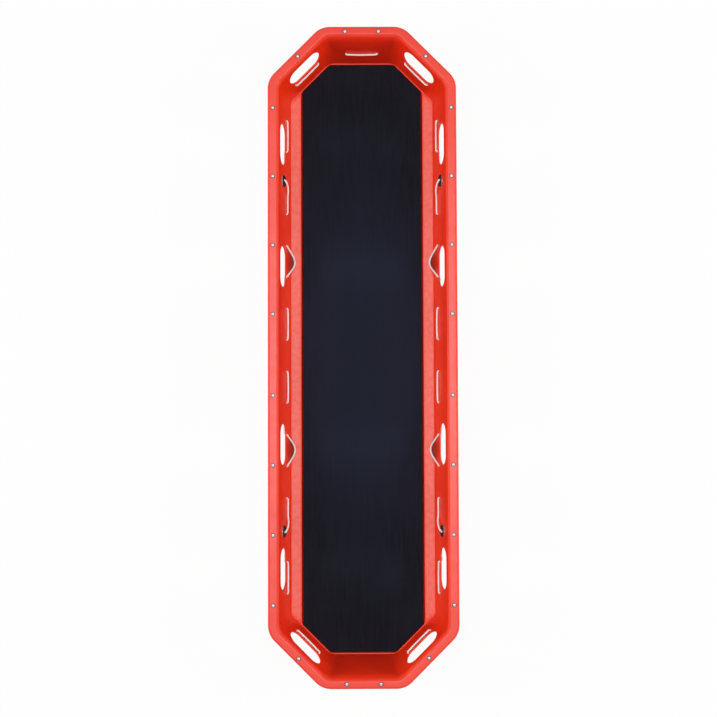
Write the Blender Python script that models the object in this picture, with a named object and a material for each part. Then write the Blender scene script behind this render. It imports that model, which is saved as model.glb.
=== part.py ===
"""Basket stretcher with a laced grab cord, standing on its runners with the head end towards +Y.

The shell is one moulded plastic sheet of even thickness. A loop of aluminium tube lies under its rim
and is held there by blind rivets. Sizes are in metres, and insets are measured inwards from the rim's
outer edge.
"""
import math

import bmesh
import bpy
from mathutils import Matrix, Vector

# Overall size, with the four corners cut off at 45 degrees
LENGTH = 2.160
WIDTH = 0.620
HEIGHT = 0.180
CORNER_CUT = 0.175
CORNER_RADIUS = 0.072

# Moulded sheet: rim, walls and floor
SHEET = 0.0045
RIM_WIDTH = 0.038
RIM_ROUND = 0.009
SKIRT_DEPTH = 0.030
SIDE_RUN = 0.067
END_RUN = 0.041
CORNER_RUN = 0.035
LEDGE_WIDTH = 0.0393
LEDGE_RISE = 0.025
FLOOR_CORNER_RADIUS = 0.025

# Runners moulded into the floor, hollow from above
RUNNER_HEIGHT = 0.0125
RUNNER_HALF_WIDTH = 0.018
RUNNER_SPACING = 0.125
RUNNER_COUNT = 3
RUNNER_END_CLEARANCE = 0.130
RUNNER_SIDE_DRAFT = 0.48
RUNNER_END_DRAFT = 1.6

# Hand slots, one in each cut corner and four along each side
SLOT_LENGTH = 0.135
SLOT_HEIGHT = 0.064
SLOT_DROP = 0.054
MIDDLE_SLOT_PLACE = 0.294
OUTER_SLOT_FROM_CORNER = 0.203

# Frame tube under the rim
TUBE_DIAMETER = 0.025
TUBE_WALL = 0.002
TUBE_INSET = 0.0175
JOINT_FROM_CORNER = 0.055
JOINT_GAP = 0.001
SPIGOT_LENGTH = 0.044
SPIGOT_WALL = 0.002

# Blind rivets
RIVET_HEAD_DIAMETER = 0.012
RIVET_EDGE_DIAMETER = 0.0108
RIVET_EDGE_HEIGHT = 0.0013
RIVET_CROWN_DIAMETER = 0.006
RIVET_HEAD_HEIGHT = 0.0026
RIVET_DIAMETER = 0.0048
RIVET_BULB_DIAMETER = 0.008
RIVET_BULB_LENGTH = 0.0035
RIVET_TAIL_LENGTH = 0.00105
RIVET_PITCH = 0.226
RIVET_FROM_CORNER = 0.0945
END_RIVET = 0.055

# Lacing cord and its holes
CORD_DIAMETER = 0.006
CORD_HOLE_DIAMETER = 0.0085
CORD_PITCH = 0.1055
CORD_DROP = 0.094
HOLE_FROM_CORNER = 0.055
SLEEVE_LENGTH = 0.030
SLEEVE_WALL = 0.0012

# Hand bulges, where the wall swells inwards between two cord holes below each middle slot
BULGE_PITCHES = 3
BULGE_DEPTH = 0.014
BULGE_HALF_LENGTH = 0.050
BULGE_SLACK = 0.042

# Lifting eyelets, each in place of a cord hole, and their grommets
EYE_HOLE = 5
EYE_DROP = 0.060
EYE_BORE = 0.028
EYE_WALL = 0.0015
EYE_FLANGE_DIAMETER = 0.043
GROMMET_BORE = 0.022
GROMMET_FLANGE_DIAMETER = 0.037
GROMMET_FLANGE_HEIGHT = 0.003
GROMMET_EDGE_HEIGHT = 0.0018

# Mat and the strips that hold it
MAT_THICKNESS = 0.012
MAT_CLEARANCE = 0.003
STRIP_LENGTH = 0.100
STRIP_WIDTH = 0.050
STRIP_THICKNESS = 0.0012
STRIP_FROM_END = 0.280

# The cord beside a lifting eye: distance from the eye's middle, and share of the way up to it
EYE_APPROACH = 0.0473
EYE_SHOULDER = 0.02795
EYE_SHOULDER_RISE = 0.4
EYE_LIP = 0.00645
EYE_LIP_RISE = 0.92

# Working gaps and roundness
GAP = 0.0003
CORD_GAP = 0.0004
CORD_TURN = 0.0032
SLACK_GAP = 0.0008
SLEEVE_GAP = 0.0008
GROMMET_LIP = 0.001
CUT_MARGIN = 0.003
ARC_STEPS = 4
BULGE_STEPS = 8
HOLE_SIDES = 8
TUBE_SIDES = 8
RIVET_SIDES = 6
EYE_SIDES = 12
SLOT_STEPS = 6
SMOOTH_ANGLE = math.radians(35)

# Heights, reaches and places that follow from the sizes above
FLOOR_TOP = RUNNER_HEIGHT + SHEET
WALL_TOP = HEIGHT - RIM_ROUND
LEDGE_TOP = FLOOR_TOP + LEDGE_RISE
SLOT_LEVEL = HEIGHT - SLOT_DROP
CORD_LEVEL = HEIGHT - CORD_DROP
EYE_LEVEL = HEIGHT - EYE_DROP
CORD_RADIUS = CORD_DIAMETER / 2
EIGHTH_TURN = math.pi / 4
DIAGONAL = math.sqrt(2)
REACH = {
    "side": WIDTH / 2,
    "end": LENGTH / 2,
    "corner": (WIDTH / 2 + LENGTH / 2 - CORNER_CUT) / DIAGONAL,
}
RUN = {"side": SIDE_RUN, "end": END_RUN, "corner": CORNER_RUN}
QUARTERS = [(1, 1), (-1, 1), (-1, -1), (1, -1)]
CORNER_PLACE = LENGTH / 2 - CORNER_CUT
SLOT_PLACES = (MIDDLE_SLOT_PLACE, CORNER_PLACE - OUTER_SLOT_FROM_CORNER)
JOINT_PLACE = CORNER_PLACE - JOINT_FROM_CORNER
STRIP_PLACE = LENGTH / 2 - STRIP_FROM_END
SIDE_HOLES = 2 * math.floor((CORNER_PLACE - HOLE_FROM_CORNER) / (2 * CORD_PITCH))
BULGE_PLACE = CORD_PITCH * BULGE_PITCHES
EYE_PLACE = CORD_PITCH * (EYE_HOLE + 0.5)
TUBE_LEVEL = HEIGHT - SHEET - GAP - TUBE_DIAMETER / 2


# Materials

def material(name, colour, roughness, metallic=0.0):
    """Plain Principled material."""
    made = bpy.data.materials.new(name)
    made.use_nodes = True
    shader = made.node_tree.nodes["Principled BSDF"]
    shader.inputs["Base Color"].default_value = (*colour, 1)
    shader.inputs["Roughness"].default_value = roughness
    shader.inputs["Metallic"].default_value = metallic
    return made


# Mesh helpers

def add_object(name, shape, finish, place=None, smooth=True):
    """Turn a bmesh into an object with its faces pointing outwards."""
    bmesh.ops.recalc_face_normals(shape, faces=shape.faces)
    mesh = bpy.data.meshes.new(name)
    shape.to_mesh(mesh)
    shape.free()
    if smooth:
        mesh.shade_smooth()
        mesh.set_sharp_from_angle(angle=SMOOTH_ANGLE)
    mesh.materials.append(finish)
    made = bpy.data.objects.new(name, mesh)
    bpy.context.scene.collection.objects.link(made)
    if place is not None:
        made.matrix_world = place
    return made


def add_cutter(name, shape):
    """Helper object for a Boolean, left out of the model."""
    made = add_object(name, shape, PLASTIC, smooth=False)
    made.hide_render = True
    made.display_type = "WIRE"
    return made


def cut(target, tool, operation="DIFFERENCE"):
    """Boolean modifier on the target."""
    modifier = target.modifiers.new(tool.name, "BOOLEAN")
    modifier.operation = operation
    modifier.solver = "EXACT"
    modifier.object = tool


def skin(rings, endless=False):
    """Quads between closed rings of points, with a cap on the first and last ring unless endless."""
    shape = bmesh.new()
    made = [[shape.verts.new(point) for point in ring] for ring in rings]
    pairs = list(zip(made, made[1:]))
    if endless:
        pairs.append((made[-1], made[0]))
    else:
        shape.faces.new(list(reversed(made[0])))
        shape.faces.new(made[-1])
    for low, high in pairs:
        for here in range(len(low)):
            after = (here + 1) % len(low)
            shape.faces.new((low[here], low[after], high[after], high[here]))
    return shape


def add_prism(shape, outline, place, low, high):
    """Add an upright prism on a flat outline, moved by the matrix place."""
    bottom = [shape.verts.new(place @ Vector((x, y, low))) for x, y in outline]
    top = [shape.verts.new(place @ Vector((x, y, high))) for x, y in outline]
    shape.faces.new(list(reversed(bottom)))
    shape.faces.new(top)
    for here in range(len(outline)):
        after = (here + 1) % len(outline)
        shape.faces.new((bottom[here], bottom[after], top[after], top[here]))


def circle(radius, sides):
    """Points of a regular outline whose corners lie on the circle."""
    turns = [2 * math.pi * (step + 0.5) / sides for step in range(sides)]
    return [(radius * math.cos(turn), radius * math.sin(turn)) for turn in turns]


def rectangle(half_length, half_width):
    """Corners of a rectangle, anticlockwise."""
    return [
        (-half_length, -half_width),
        (half_length, -half_width),
        (half_length, half_width),
        (-half_length, half_width),
    ]


def stadium(length, height):
    """Slot outline with half-round ends."""
    radius = height / 2
    straight = length / 2 - radius
    points = []
    for side, start in ((1, -math.pi / 2), (-1, math.pi / 2)):
        for step in range(SLOT_STEPS + 1):
            turn = start + math.pi * step / SLOT_STEPS
            points.append((side * straight + radius * math.cos(turn), radius * math.sin(turn)))
    return points


def turned(profile, sides, endless=False):
    """Body of revolution about Z from (radius, height) points."""
    return skin([[(x, y, z) for x, y in circle(r, sides)] for r, z in profile], endless)


# Shape of the shell

def wall_foot(kind):
    """Inset and height of the steep wall's foot. On a long side the ledge starts there."""
    if kind == "side":
        return RIM_WIDTH + SIDE_RUN - LEDGE_WIDTH, LEDGE_TOP
    share = (WALL_TOP - LEDGE_TOP) / (WALL_TOP - FLOOR_TOP)
    return RIM_WIDTH + RUN[kind] * share, LEDGE_TOP


def wall_slope(kind):
    """How far the steep wall runs inwards for each metre that it drops."""
    inset, height = wall_foot(kind)
    return (inset - RIM_WIDTH) / (WALL_TOP - height)


def wall_reach(kind, height):
    """Distance from the middle of the basket to the wall's inner face at a height."""
    return REACH[kind] - RIM_WIDTH - wall_slope(kind) * (WALL_TOP - height)


def bulge(along):
    """How far the wall's foot swells inwards at a distance from the middle of a long side."""
    share = abs(abs(along) - BULGE_PLACE) / BULGE_HALF_LENGTH
    if share >= 1:
        return 0.0
    return BULGE_DEPTH * math.cos(math.pi / 2 * share) ** 2


def round_hole(radius, sides):
    """Corner radius of a many-sided hole whose flats clear a round piece."""
    return (radius + GAP) / math.cos(math.pi / sides)


def bulge_top():
    """Height where the hand bulge starts, just below the slot."""
    return SLOT_LEVEL - SLOT_HEIGHT / 2


def upper_profile(kind, swell=0.0):
    """Upper face of the sheet as (inset, height), from the skirt's lower edge to the floor."""
    slant = RIM_ROUND * (1 - math.sqrt(0.5))
    foot, foot_height = wall_foot(kind)
    neck = REACH[kind] - wall_reach(kind, bulge_top())
    return [
        (0, HEIGHT - SKIRT_DEPTH),
        (0, HEIGHT - RIM_ROUND),
        (slant, HEIGHT - slant),
        (RIM_ROUND, HEIGHT),
        (RIM_WIDTH - RIM_ROUND, HEIGHT),
        (RIM_WIDTH - slant, HEIGHT - slant),
        (RIM_WIDTH, WALL_TOP),
        (neck, bulge_top()),
        (foot + swell, foot_height - swell * LEDGE_RISE / LEDGE_WIDTH),
        (RIM_WIDTH + RUN[kind], FLOOR_TOP),
    ]


def lower_profile(upper):
    """Under face of the sheet: the upper profile moved by the sheet's thickness, with mitred bends."""
    path = [Vector(point) for point in upper]
    ahead = [(after - here).normalized() for here, after in zip(path, path[1:])]
    ahead.append(Vector((1, 0)))
    lower = []
    for here, point in enumerate(path):
        normals = [Vector((way.y, -way.x)) for way in ahead[max(here - 1, 0):here + 1]]
        total = sum(normals, Vector((0, 0)))
        lower.append(tuple(point + total * SHEET * len(normals) / total.length_squared))
    return lower


def corner_radius(inset, height):
    """Radius of the bends between wall and cut corner, sharper towards the floor."""
    if height >= WALL_TOP or inset < RIM_WIDTH:
        return CORNER_RADIUS - inset
    share = (WALL_TOP - height) / (WALL_TOP - FLOOR_TOP)
    return CORNER_RADIUS - RIM_WIDTH + (FLOOR_CORNER_RADIUS - CORNER_RADIUS + RIM_WIDTH) * share


def bend(insets, radius, near_side, angle):
    """Point on one of the two bends of the corner in the +X +Y quarter."""
    diagonal = DIAGONAL * (REACH["corner"] - insets["corner"] - radius)
    if near_side:
        x = REACH["side"] - insets["side"] - radius
        y = diagonal - x
    else:
        y = REACH["end"] - insets["end"] - radius
        x = diagonal - y
    return x + radius * math.cos(angle), y + radius * math.sin(angle)


def corner_points(insets, radius, heights, steps=ARC_STEPS):
    """Both bends of the +X +Y corner. Insets and heights are given for side, corner and end."""
    points = []
    for near_side in (True, False):
        first, second = ("side", "corner") if near_side else ("corner", "end")
        for step in range(steps + 1):
            share = step / steps
            angle = EIGHTH_TURN * (share if near_side else 1 + share)
            x, y = bend(insets, radius, near_side, angle)
            points.append((x, y, heights[first] + (heights[second] - heights[first]) * share))
    return points


def all_round(quarter):
    """Full loop from the points of the +X +Y quarter, which run from the side to the end."""
    half = quarter + [(-x, y, z) for x, y, z in reversed(quarter)]
    return half + [(-x, -y, z) for x, y, z in half]


def bulge_stations():
    """Places along a long side where the hand bulge needs a row of points."""
    steps = range(BULGE_STEPS + 1)
    return [BULGE_PLACE + BULGE_HALF_LENGTH * (2 * step / BULGE_STEPS - 1) for step in steps]


def shell_rings():
    """Rings of points from the floor's under face, round the skirt's edge, to the floor's upper face."""
    kinds = ("side", "corner", "end")
    uppers = {kind: upper_profile(kind) for kind in kinds}
    lowers = {kind: lower_profile(uppers[kind]) for kind in kinds}
    swollen = {place: upper_profile("side", bulge(place)) for place in bulge_stations()}
    sunken = {place: lower_profile(profile) for place, profile in swollen.items()}
    rings = []
    for profiles, stations in ((lowers, sunken), (uppers, swollen)):
        face = []
        for level in range(len(uppers["side"])):
            insets = {kind: profiles[kind][level][0] for kind in kinds}
            heights = {kind: profiles[kind][level][1] for kind in kinds}
            top_inset, top_height = uppers["corner"][level]
            radius = corner_radius(top_inset, top_height) + top_inset - insets["corner"]
            side = [(REACH["side"] - p[level][0], place, p[level][1]) for place, p in stations.items()]
            face.append(all_round(side + corner_points(insets, radius, heights)))
        rings.append(face)
    return list(reversed(rings[0])) + rings[1]


# Places on the walls

def outward(kind, quarter):
    """Level direction out through a wall."""
    across, along = quarter
    ways = {"side": (across, 0), "end": (0, along), "corner": (across, along)}
    return Vector((*ways[kind], 0)).normalized()


def wall_point(kind, quarter, along, height, out=0.0):
    """Point at a height on a wall's inner face, or a level distance out from it."""
    across, forward = quarter
    reach = {name: wall_reach(name, height) + out for name in REACH}
    if kind == "side":
        return Vector((across * reach["side"], forward * along, height))
    if kind == "end":
        return Vector((across * along, forward * reach["end"], height))
    total = reach["corner"] * DIAGONAL
    x = (reach["side"] + total - reach["end"]) / 2 - along / DIAGONAL
    return Vector((across * x, forward * (total - x), height))


def wall_place(kind, quarter, along, height):
    """Matrix whose origin is on the inner face, X along the wall, Y up it and Z out of its face."""
    out = outward(kind, quarter)
    along_wall = out.cross(Vector((0, 0, 1)))
    up = (out * wall_slope(kind) + Vector((0, 0, 1))).normalized()
    turn = Matrix((along_wall, up, along_wall.cross(up))).transposed().to_4x4()
    return Matrix.Translation(wall_point(kind, quarter, along, height)) @ turn


def level_place(kind, quarter, along, height):
    """Matrix at the same point whose Z runs level, out through the wall."""
    out = outward(kind, quarter)
    turn = Matrix((Vector((0, 0, 1)).cross(out), Vector((0, 0, 1)), out)).transposed().to_4x4()
    return Matrix.Translation(wall_point(kind, quarter, along, height)) @ turn


def cord_holes():
    """Kind, quarter and place of each small hole for the cord. The eyelets take its place at two a side."""
    half = CORD_PITCH / 2
    places = [("end", quarter, half) for quarter in QUARTERS if quarter[1] > 0]
    for quarter in QUARTERS:
        places += [("corner", quarter, half), ("corner", quarter, -half)]
        holes = [number for number in range(SIDE_HOLES) if number != EYE_HOLE]
        places += [("side", quarter, CORD_PITCH * (number + 0.5)) for number in holes]
    return places


def slot_places():
    """Kind, quarter and place of the 12 hand slots."""
    places = [("corner", quarter, 0.0) for quarter in QUARTERS]
    places += [("side", quarter, along) for quarter in QUARTERS for along in SLOT_PLACES]
    return places


def rivet_places():
    """Level positions of the 24 rivets along the middle of the frame tube."""
    reach = {kind: REACH[kind] - TUBE_INSET for kind in REACH}
    across = (reach["side"] + reach["corner"] * DIAGONAL - reach["end"]) / 2
    forward = reach["corner"] * DIAGONAL - across
    last = CORNER_PLACE - RIVET_FROM_CORNER
    count = round(last / RIVET_PITCH)
    side = [last - RIVET_PITCH * number for number in reversed(range(count))]
    places = []
    for x_sign, y_sign in QUARTERS:
        places += [(x_sign * reach["side"], y_sign * along) for along in side]
        places.append((x_sign * across, y_sign * forward))
        places.append((x_sign * END_RIVET, y_sign * reach["end"]))
    return places


# Shell

def add_frustum(shape, centre, low, high, half_length, half_width, end_draft, side_draft):
    """Add a tapered bar whose length and width grow with height above the ground."""
    rings = []
    for height in (low, high):
        corners = rectangle(half_width + side_draft * height, half_length + end_draft * height)
        rings.append([shape.verts.new((centre + x, y, height)) for x, y in corners])
    bottom, top = rings
    shape.faces.new(list(reversed(bottom)))
    shape.faces.new(top)
    for here in range(4):
        after = (here + 1) % 4
        shape.faces.new((bottom[here], bottom[after], top[after], top[here]))


def runner_cutters():
    """The runners' outer form, and the hollow in each."""
    outer = bmesh.new()
    inner = bmesh.new()
    half_length = REACH["end"] - RIM_WIDTH - END_RUN - RUNNER_END_CLEARANCE
    end_wall = SHEET * math.hypot(1, RUNNER_END_DRAFT)
    side_wall = SHEET * math.hypot(1, RUNNER_SIDE_DRAFT)
    for number in range(RUNNER_COUNT):
        centre = RUNNER_SPACING * (number - (RUNNER_COUNT - 1) / 2)
        add_frustum(outer, centre, 0, FLOOR_TOP - SHEET / 2, half_length, RUNNER_HALF_WIDTH,
                    RUNNER_END_DRAFT, RUNNER_SIDE_DRAFT)
        add_frustum(inner, centre, SHEET, FLOOR_TOP + CUT_MARGIN, half_length - end_wall,
                    RUNNER_HALF_WIDTH - side_wall, RUNNER_END_DRAFT, RUNNER_SIDE_DRAFT)
    return add_cutter("runner_form", outer), add_cutter("runner_hollow", inner)


def shell_openings():
    """Cutter for the hand slots, cord holes, eyelet holes and rivet holes."""
    shape = bmesh.new()
    for kind, quarter, along in slot_places():
        place = wall_place(kind, quarter, along, SLOT_LEVEL)
        add_prism(shape, stadium(SLOT_LENGTH, SLOT_HEIGHT), place, -SHEET - CUT_MARGIN, CUT_MARGIN)
    for kind, quarter, along in cord_holes():
        place = level_place(kind, quarter, along, CORD_LEVEL)
        add_prism(shape, circle(CORD_HOLE_DIAMETER / 2, HOLE_SIDES), place, -CUT_MARGIN, SHEET + CUT_MARGIN)
    for quarter in QUARTERS:
        place = wall_place("side", quarter, EYE_PLACE, EYE_LEVEL)
        radius = round_hole(EYE_BORE / 2 + EYE_WALL, EYE_SIDES)
        add_prism(shape, circle(radius, EYE_SIDES), place, -SHEET - CUT_MARGIN, CUT_MARGIN)
    for x, y in rivet_places():
        place = Matrix.Translation((x, y, HEIGHT))
        radius = round_hole(RIVET_DIAMETER / 2, HOLE_SIDES)
        add_prism(shape, circle(radius, HOLE_SIDES), place, -SHEET - CUT_MARGIN, CUT_MARGIN)
    return add_cutter("shell_openings", shape)


def make_shell():
    """The moulded basket in one sheet."""
    shell = add_object("shell", skin(shell_rings()), PLASTIC)
    form, hollow = runner_cutters()
    cut(shell, form, "UNION")
    cut(shell, hollow)
    cut(shell, shell_openings())


# Frame

def swept(path, radius, sides):
    """Rings of points round a level path, mitred at its bends."""
    points = [Vector(point) for point in path]
    ways = [(after - here).normalized() for here, after in zip(points, points[1:])]
    rings = []
    for here, point in enumerate(points):
        before = ways[max(here - 1, 0)]
        after = ways[min(here, len(ways) - 1)]
        middle = (before + after).normalized()
        across = middle.cross(Vector((0, 0, 1))) / middle.dot(after)
        rings.append([point + across * x + Vector((0, 0, y)) for x, y in circle(radius, sides)])
    return rings


def make_tube(name, path, outer, wall):
    """Hollow tube with open ends along a level path."""
    rings = swept(path, outer, TUBE_SIDES)
    bore = swept(path, outer - wall, TUBE_SIDES)
    return add_object(name, skin(rings + list(reversed(bore)), endless=True), ALUMINIUM)


def tube_corner():
    """Bends of the tube's middle line in the +X +Y quarter, from the side to the end."""
    insets = {kind: TUBE_INSET for kind in REACH}
    heights = {kind: TUBE_LEVEL for kind in REACH}
    return corner_points(insets, CORNER_RADIUS - TUBE_INSET, heights)


def make_frame():
    """Two straight side tubes and two bows, joined over spigots."""
    shape = bmesh.new()
    for x, y in rivet_places():
        radius = round_hole(RIVET_DIAMETER / 2, HOLE_SIDES)
        place = Matrix.Translation((x, y, TUBE_LEVEL))
        add_prism(shape, circle(radius, HOLE_SIDES), place, 0, TUBE_DIAMETER)
    holes = add_cutter("tube_rivet_holes", shape)
    reach = REACH["side"] - TUBE_INSET
    outer = TUBE_DIAMETER / 2
    for name, sign in (("frame_side_right", 1), ("frame_side_left", -1)):
        path = [(sign * reach, y, TUBE_LEVEL) for y in (-JOINT_PLACE, JOINT_PLACE)]
        cut(make_tube(name, path, outer, TUBE_WALL), holes)
    start = (reach, JOINT_PLACE + JOINT_GAP, TUBE_LEVEL)
    quarter = [start] + tube_corner()
    bow = quarter + [(-x, y, z) for x, y, z in reversed(quarter)]
    for name, sign in (("frame_bow_head", 1), ("frame_bow_foot", -1)):
        path = [(x, sign * y, z) for x, y, z in bow]
        cut(make_tube(name, path, outer, TUBE_WALL), holes)
    spigot_radius = outer - TUBE_WALL - GAP
    for number, (x_sign, y_sign) in enumerate(QUARTERS, 1):
        middle = JOINT_PLACE + JOINT_GAP / 2
        ends = (middle - SPIGOT_LENGTH / 2, middle + SPIGOT_LENGTH / 2)
        path = [(x_sign * reach, y_sign * y, TUBE_LEVEL) for y in ends]
        make_tube(f"frame_spigot_{number}", path, spigot_radius, SPIGOT_WALL)


def make_rivets():
    """Blind rivets with a domed head on the rim and a bulb inside the tube."""
    shank = RIVET_DIAMETER / 2
    bulb = RIVET_BULB_DIAMETER / 2
    bore = (TUBE_DIAMETER / 2 - TUBE_WALL) * math.cos(math.pi / TUBE_SIDES)
    bulb_top = TUBE_LEVEL + math.sqrt(bore ** 2 - bulb ** 2) - GAP - HEIGHT
    tail = bulb_top - RIVET_BULB_LENGTH
    profile = [
        (shank, tail),
        (bulb, tail + RIVET_TAIL_LENGTH),
        (bulb, bulb_top),
        (shank, bulb_top),
        (shank, GAP),
        (RIVET_HEAD_DIAMETER / 2, GAP),
        (RIVET_EDGE_DIAMETER / 2, RIVET_EDGE_HEIGHT),
        (RIVET_CROWN_DIAMETER / 2, RIVET_HEAD_HEIGHT),
    ]
    for number, (x, y) in enumerate(rivet_places(), 1):
        place = Matrix.Translation((x, y, HEIGHT))
        add_object(f"rim_rivet_{number:02d}", turned(profile, RIVET_SIDES), STEEL, place)


# Lifting eyelets

def make_eyes():
    """Flanged steel eyelets through the long walls, each lined with a rubber grommet."""
    bore = EYE_BORE / 2
    barrel = bore + EYE_WALL
    flange = EYE_FLANGE_DIAMETER / 2
    back = -SHEET - GAP
    eyelet = [
        (bore, GAP + EYE_WALL),
        (flange, GAP + EYE_WALL),
        (flange, GAP),
        (barrel, GAP),
        (barrel, back),
        (flange, back),
        (flange, back - EYE_WALL),
        (bore, back - EYE_WALL),
    ]
    seat = EYE_WALL + 2 * GAP
    behind = back - EYE_WALL - GAP
    grommet = [
        (GROMMET_BORE / 2, seat + GROMMET_FLANGE_HEIGHT),
        (GROMMET_FLANGE_DIAMETER / 2, seat + GROMMET_EDGE_HEIGHT),
        (GROMMET_FLANGE_DIAMETER / 2, seat),
        (bore - GAP, seat),
        (bore - GAP, behind),
        (barrel, behind),
        (barrel - GROMMET_LIP, behind - GROMMET_LIP),
        (GROMMET_BORE / 2, behind - GROMMET_LIP),
    ]
    for number, quarter in enumerate(QUARTERS, 1):
        place = wall_place("side", quarter, EYE_PLACE, EYE_LEVEL)
        add_object(f"eyelet_{number}", turned(eyelet, EYE_SIDES, True), STEEL, place)
        add_object(f"grommet_{number}", turned(grommet, EYE_SIDES, True), RUBBER, place)


# Lacing cord

def lane(kind, inside):
    """Level distance from a wall's inner face out to the cord's middle as it lies along the wall."""
    clear = CORD_RADIUS + CORD_GAP
    distance = -clear if inside else SHEET + clear
    return distance * math.hypot(1, wall_slope(kind))


def crossing(kind, quarter, along, travel, going_out):
    """The cord's points through a hole, from one face of the wall to the other."""
    reach = CORD_TURN * travel
    inner_turn = CORD_RADIUS / 2
    points = [
        (lane(kind, True), 1),
        (-inner_turn, 0),
        (SHEET + inner_turn, 0),
        (lane(kind, False), -1),
    ]
    if not going_out:
        points.reverse()
    sign = -1 if going_out else 1
    return [
        wall_point(kind, quarter, along + sign * side * reach, CORD_LEVEL, out)
        for out, side in points
    ]


def eye_crossing(along, going_out):
    """The cord's points through a lifting eye, up over its flange on one face and down on the other."""
    rise = EYE_LEVEL - CORD_LEVEL
    over_flange = -(EYE_WALL + GROMMET_FLANGE_HEIGHT + CORD_RADIUS + 3 * GAP + CORD_GAP)
    over_back = SHEET + EYE_WALL + GROMMET_LIP + CORD_RADIUS + 3 * GAP + CORD_GAP
    points = [
        (-EYE_APPROACH, 0, lane("side", True)),
        (-EYE_SHOULDER, rise * EYE_SHOULDER_RISE, over_flange),
        (-EYE_LIP, rise * EYE_LIP_RISE, over_flange),
        (0, rise, -CORD_RADIUS),
        (0, rise, SHEET + CORD_RADIUS),
        (EYE_LIP, rise * EYE_LIP_RISE, over_back),
        (EYE_SHOULDER, rise * EYE_SHOULDER_RISE, over_back),
        (EYE_APPROACH, 0, lane("side", False)),
    ]
    sign = 1
    if not going_out:
        points.reverse()
        sign = -1
    right = (1, 1)
    return [
        wall_point("side", right, along + sign * shift, CORD_LEVEL + lift, out)
        for shift, lift, out in points
    ]


def slack_loop(middle):
    """Slack stretch that hangs round the foot of a hand bulge on the +X side."""
    points = []
    for step in range(1, BULGE_STEPS):
        along = middle + BULGE_HALF_LENGTH * (2 * step / BULGE_STEPS - 1)
        share = abs(along - middle) / BULGE_HALF_LENGTH
        height = CORD_LEVEL - BULGE_SLACK * math.cos(math.pi / 2 * share) ** 2
        neck = wall_reach("side", bulge_top())
        foot, foot_height = upper_profile("side", bulge(along))[-2]
        drop = (bulge_top() - height) / (bulge_top() - foot_height)
        reach = neck + (REACH["side"] - foot - neck) * drop
        points.append(Vector((reach + lane("side", True) - SLACK_GAP, along, height)))
    return points


def corner_stretch():
    """The cord round the +X +Y corner: outside at both bends, inside below the corner slot."""
    insets = {}
    for kind in REACH:
        insets[kind] = REACH[kind] - wall_reach(kind, CORD_LEVEL) - lane(kind, False)
    heights = {kind: CORD_LEVEL for kind in REACH}
    inset = REACH["corner"] - wall_reach("corner", CORD_LEVEL)
    radius = corner_radius(inset, CORD_LEVEL) + lane("corner", False)
    bends = [Vector(point) for point in corner_points(insets, radius, heights)]
    near_side = bends[:ARC_STEPS + 1]
    near_end = bends[ARC_STEPS + 1:]
    quarter = (1, 1)
    inside = crossing("corner", quarter, -CORD_PITCH / 2, 1, False)
    inside += crossing("corner", quarter, CORD_PITCH / 2, 1, True)
    return near_side + inside + near_end


def side_stretch():
    """The cord along the +X side, in and out of its holes, from the foot corner to the head corner."""
    points = []
    for number in range(-SIDE_HOLES, SIDE_HOLES):
        along = CORD_PITCH * (number + 0.5)
        going_out = (number + SIDE_HOLES) % 2 == 1
        if number in (EYE_HOLE, -EYE_HOLE - 1):
            points += eye_crossing(along, going_out)
        else:
            points += crossing("side", (1, 1), along, 1, going_out)
        if abs(number + 1) == BULGE_PITCHES:
            points += slack_loop(along + CORD_PITCH / 2)
    return points


def cord_end(x_sign):
    """One end of the cord, in the sleeve outside the foot wall."""
    height = CORD_LEVEL + x_sign * (CORD_RADIUS + SLEEVE_GAP)
    out = lane("end", False) + SLEEVE_WALL + SLEEVE_GAP
    half = SLEEVE_LENGTH / 2 + CORD_RADIUS
    foot = (x_sign, -1)
    return [
        wall_point("end", foot, -half, height, out),
        wall_point("end", foot, half, height, out),
        wall_point("end", foot, 2 * half, CORD_LEVEL, out),
    ]


def make_cord():
    """One cord laced round the whole basket."""
    corner = corner_stretch()
    foot_corner = [Vector((x, -y, z)) for x, y, z in reversed(corner)]
    head = crossing("end", (1, 1), CORD_PITCH / 2, -1, False)
    half = foot_corner + side_stretch() + corner + head
    route = cord_end(1) + half + [Vector((-x, y, z)) for x, y, z in reversed(half)]
    route += list(reversed(cord_end(-1)))
    curve = bpy.data.curves.new("lacing_cord", "CURVE")
    curve.dimensions = "3D"
    curve.bevel_depth = CORD_RADIUS
    curve.bevel_resolution = 1
    curve.use_fill_caps = True
    spline = curve.splines.new("POLY")
    spline.points.add(len(route) - 1)
    for point, place in zip(spline.points, route):
        point.co = (*place, 1)
    curve.materials.append(CORD)
    bpy.context.scene.collection.objects.link(bpy.data.objects.new("lacing_cord", curve))
    make_sleeve()


def make_sleeve():
    """Crimped sleeve round the cord's two ends."""
    opening = CORD_RADIUS + SLEEVE_GAP
    height = 4 * opening
    inner = stadium(height, 2 * opening)
    outer = stadium(height + 2 * SLEEVE_WALL, 2 * (opening + SLEEVE_WALL))
    half = SLEEVE_LENGTH / 2
    out = lane("end", False) + SLEEVE_WALL + SLEEVE_GAP
    foot = (1, -1)
    rings = []
    for outline, x in ((outer, -half), (outer, half), (inner, half), (inner, -half)):
        rings.append([wall_point("end", foot, x, CORD_LEVEL + up, out + deep) for up, deep in outline])
    add_object("cord_sleeve", skin(rings, endless=True), ALUMINIUM)


# Mat and its strips

def strip_places():
    """Where the four pairs of strips lie, between the runners."""
    across = RUNNER_SPACING / 2
    return [(x_sign * across, y_sign * STRIP_PLACE) for x_sign, y_sign in QUARTERS]


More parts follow.
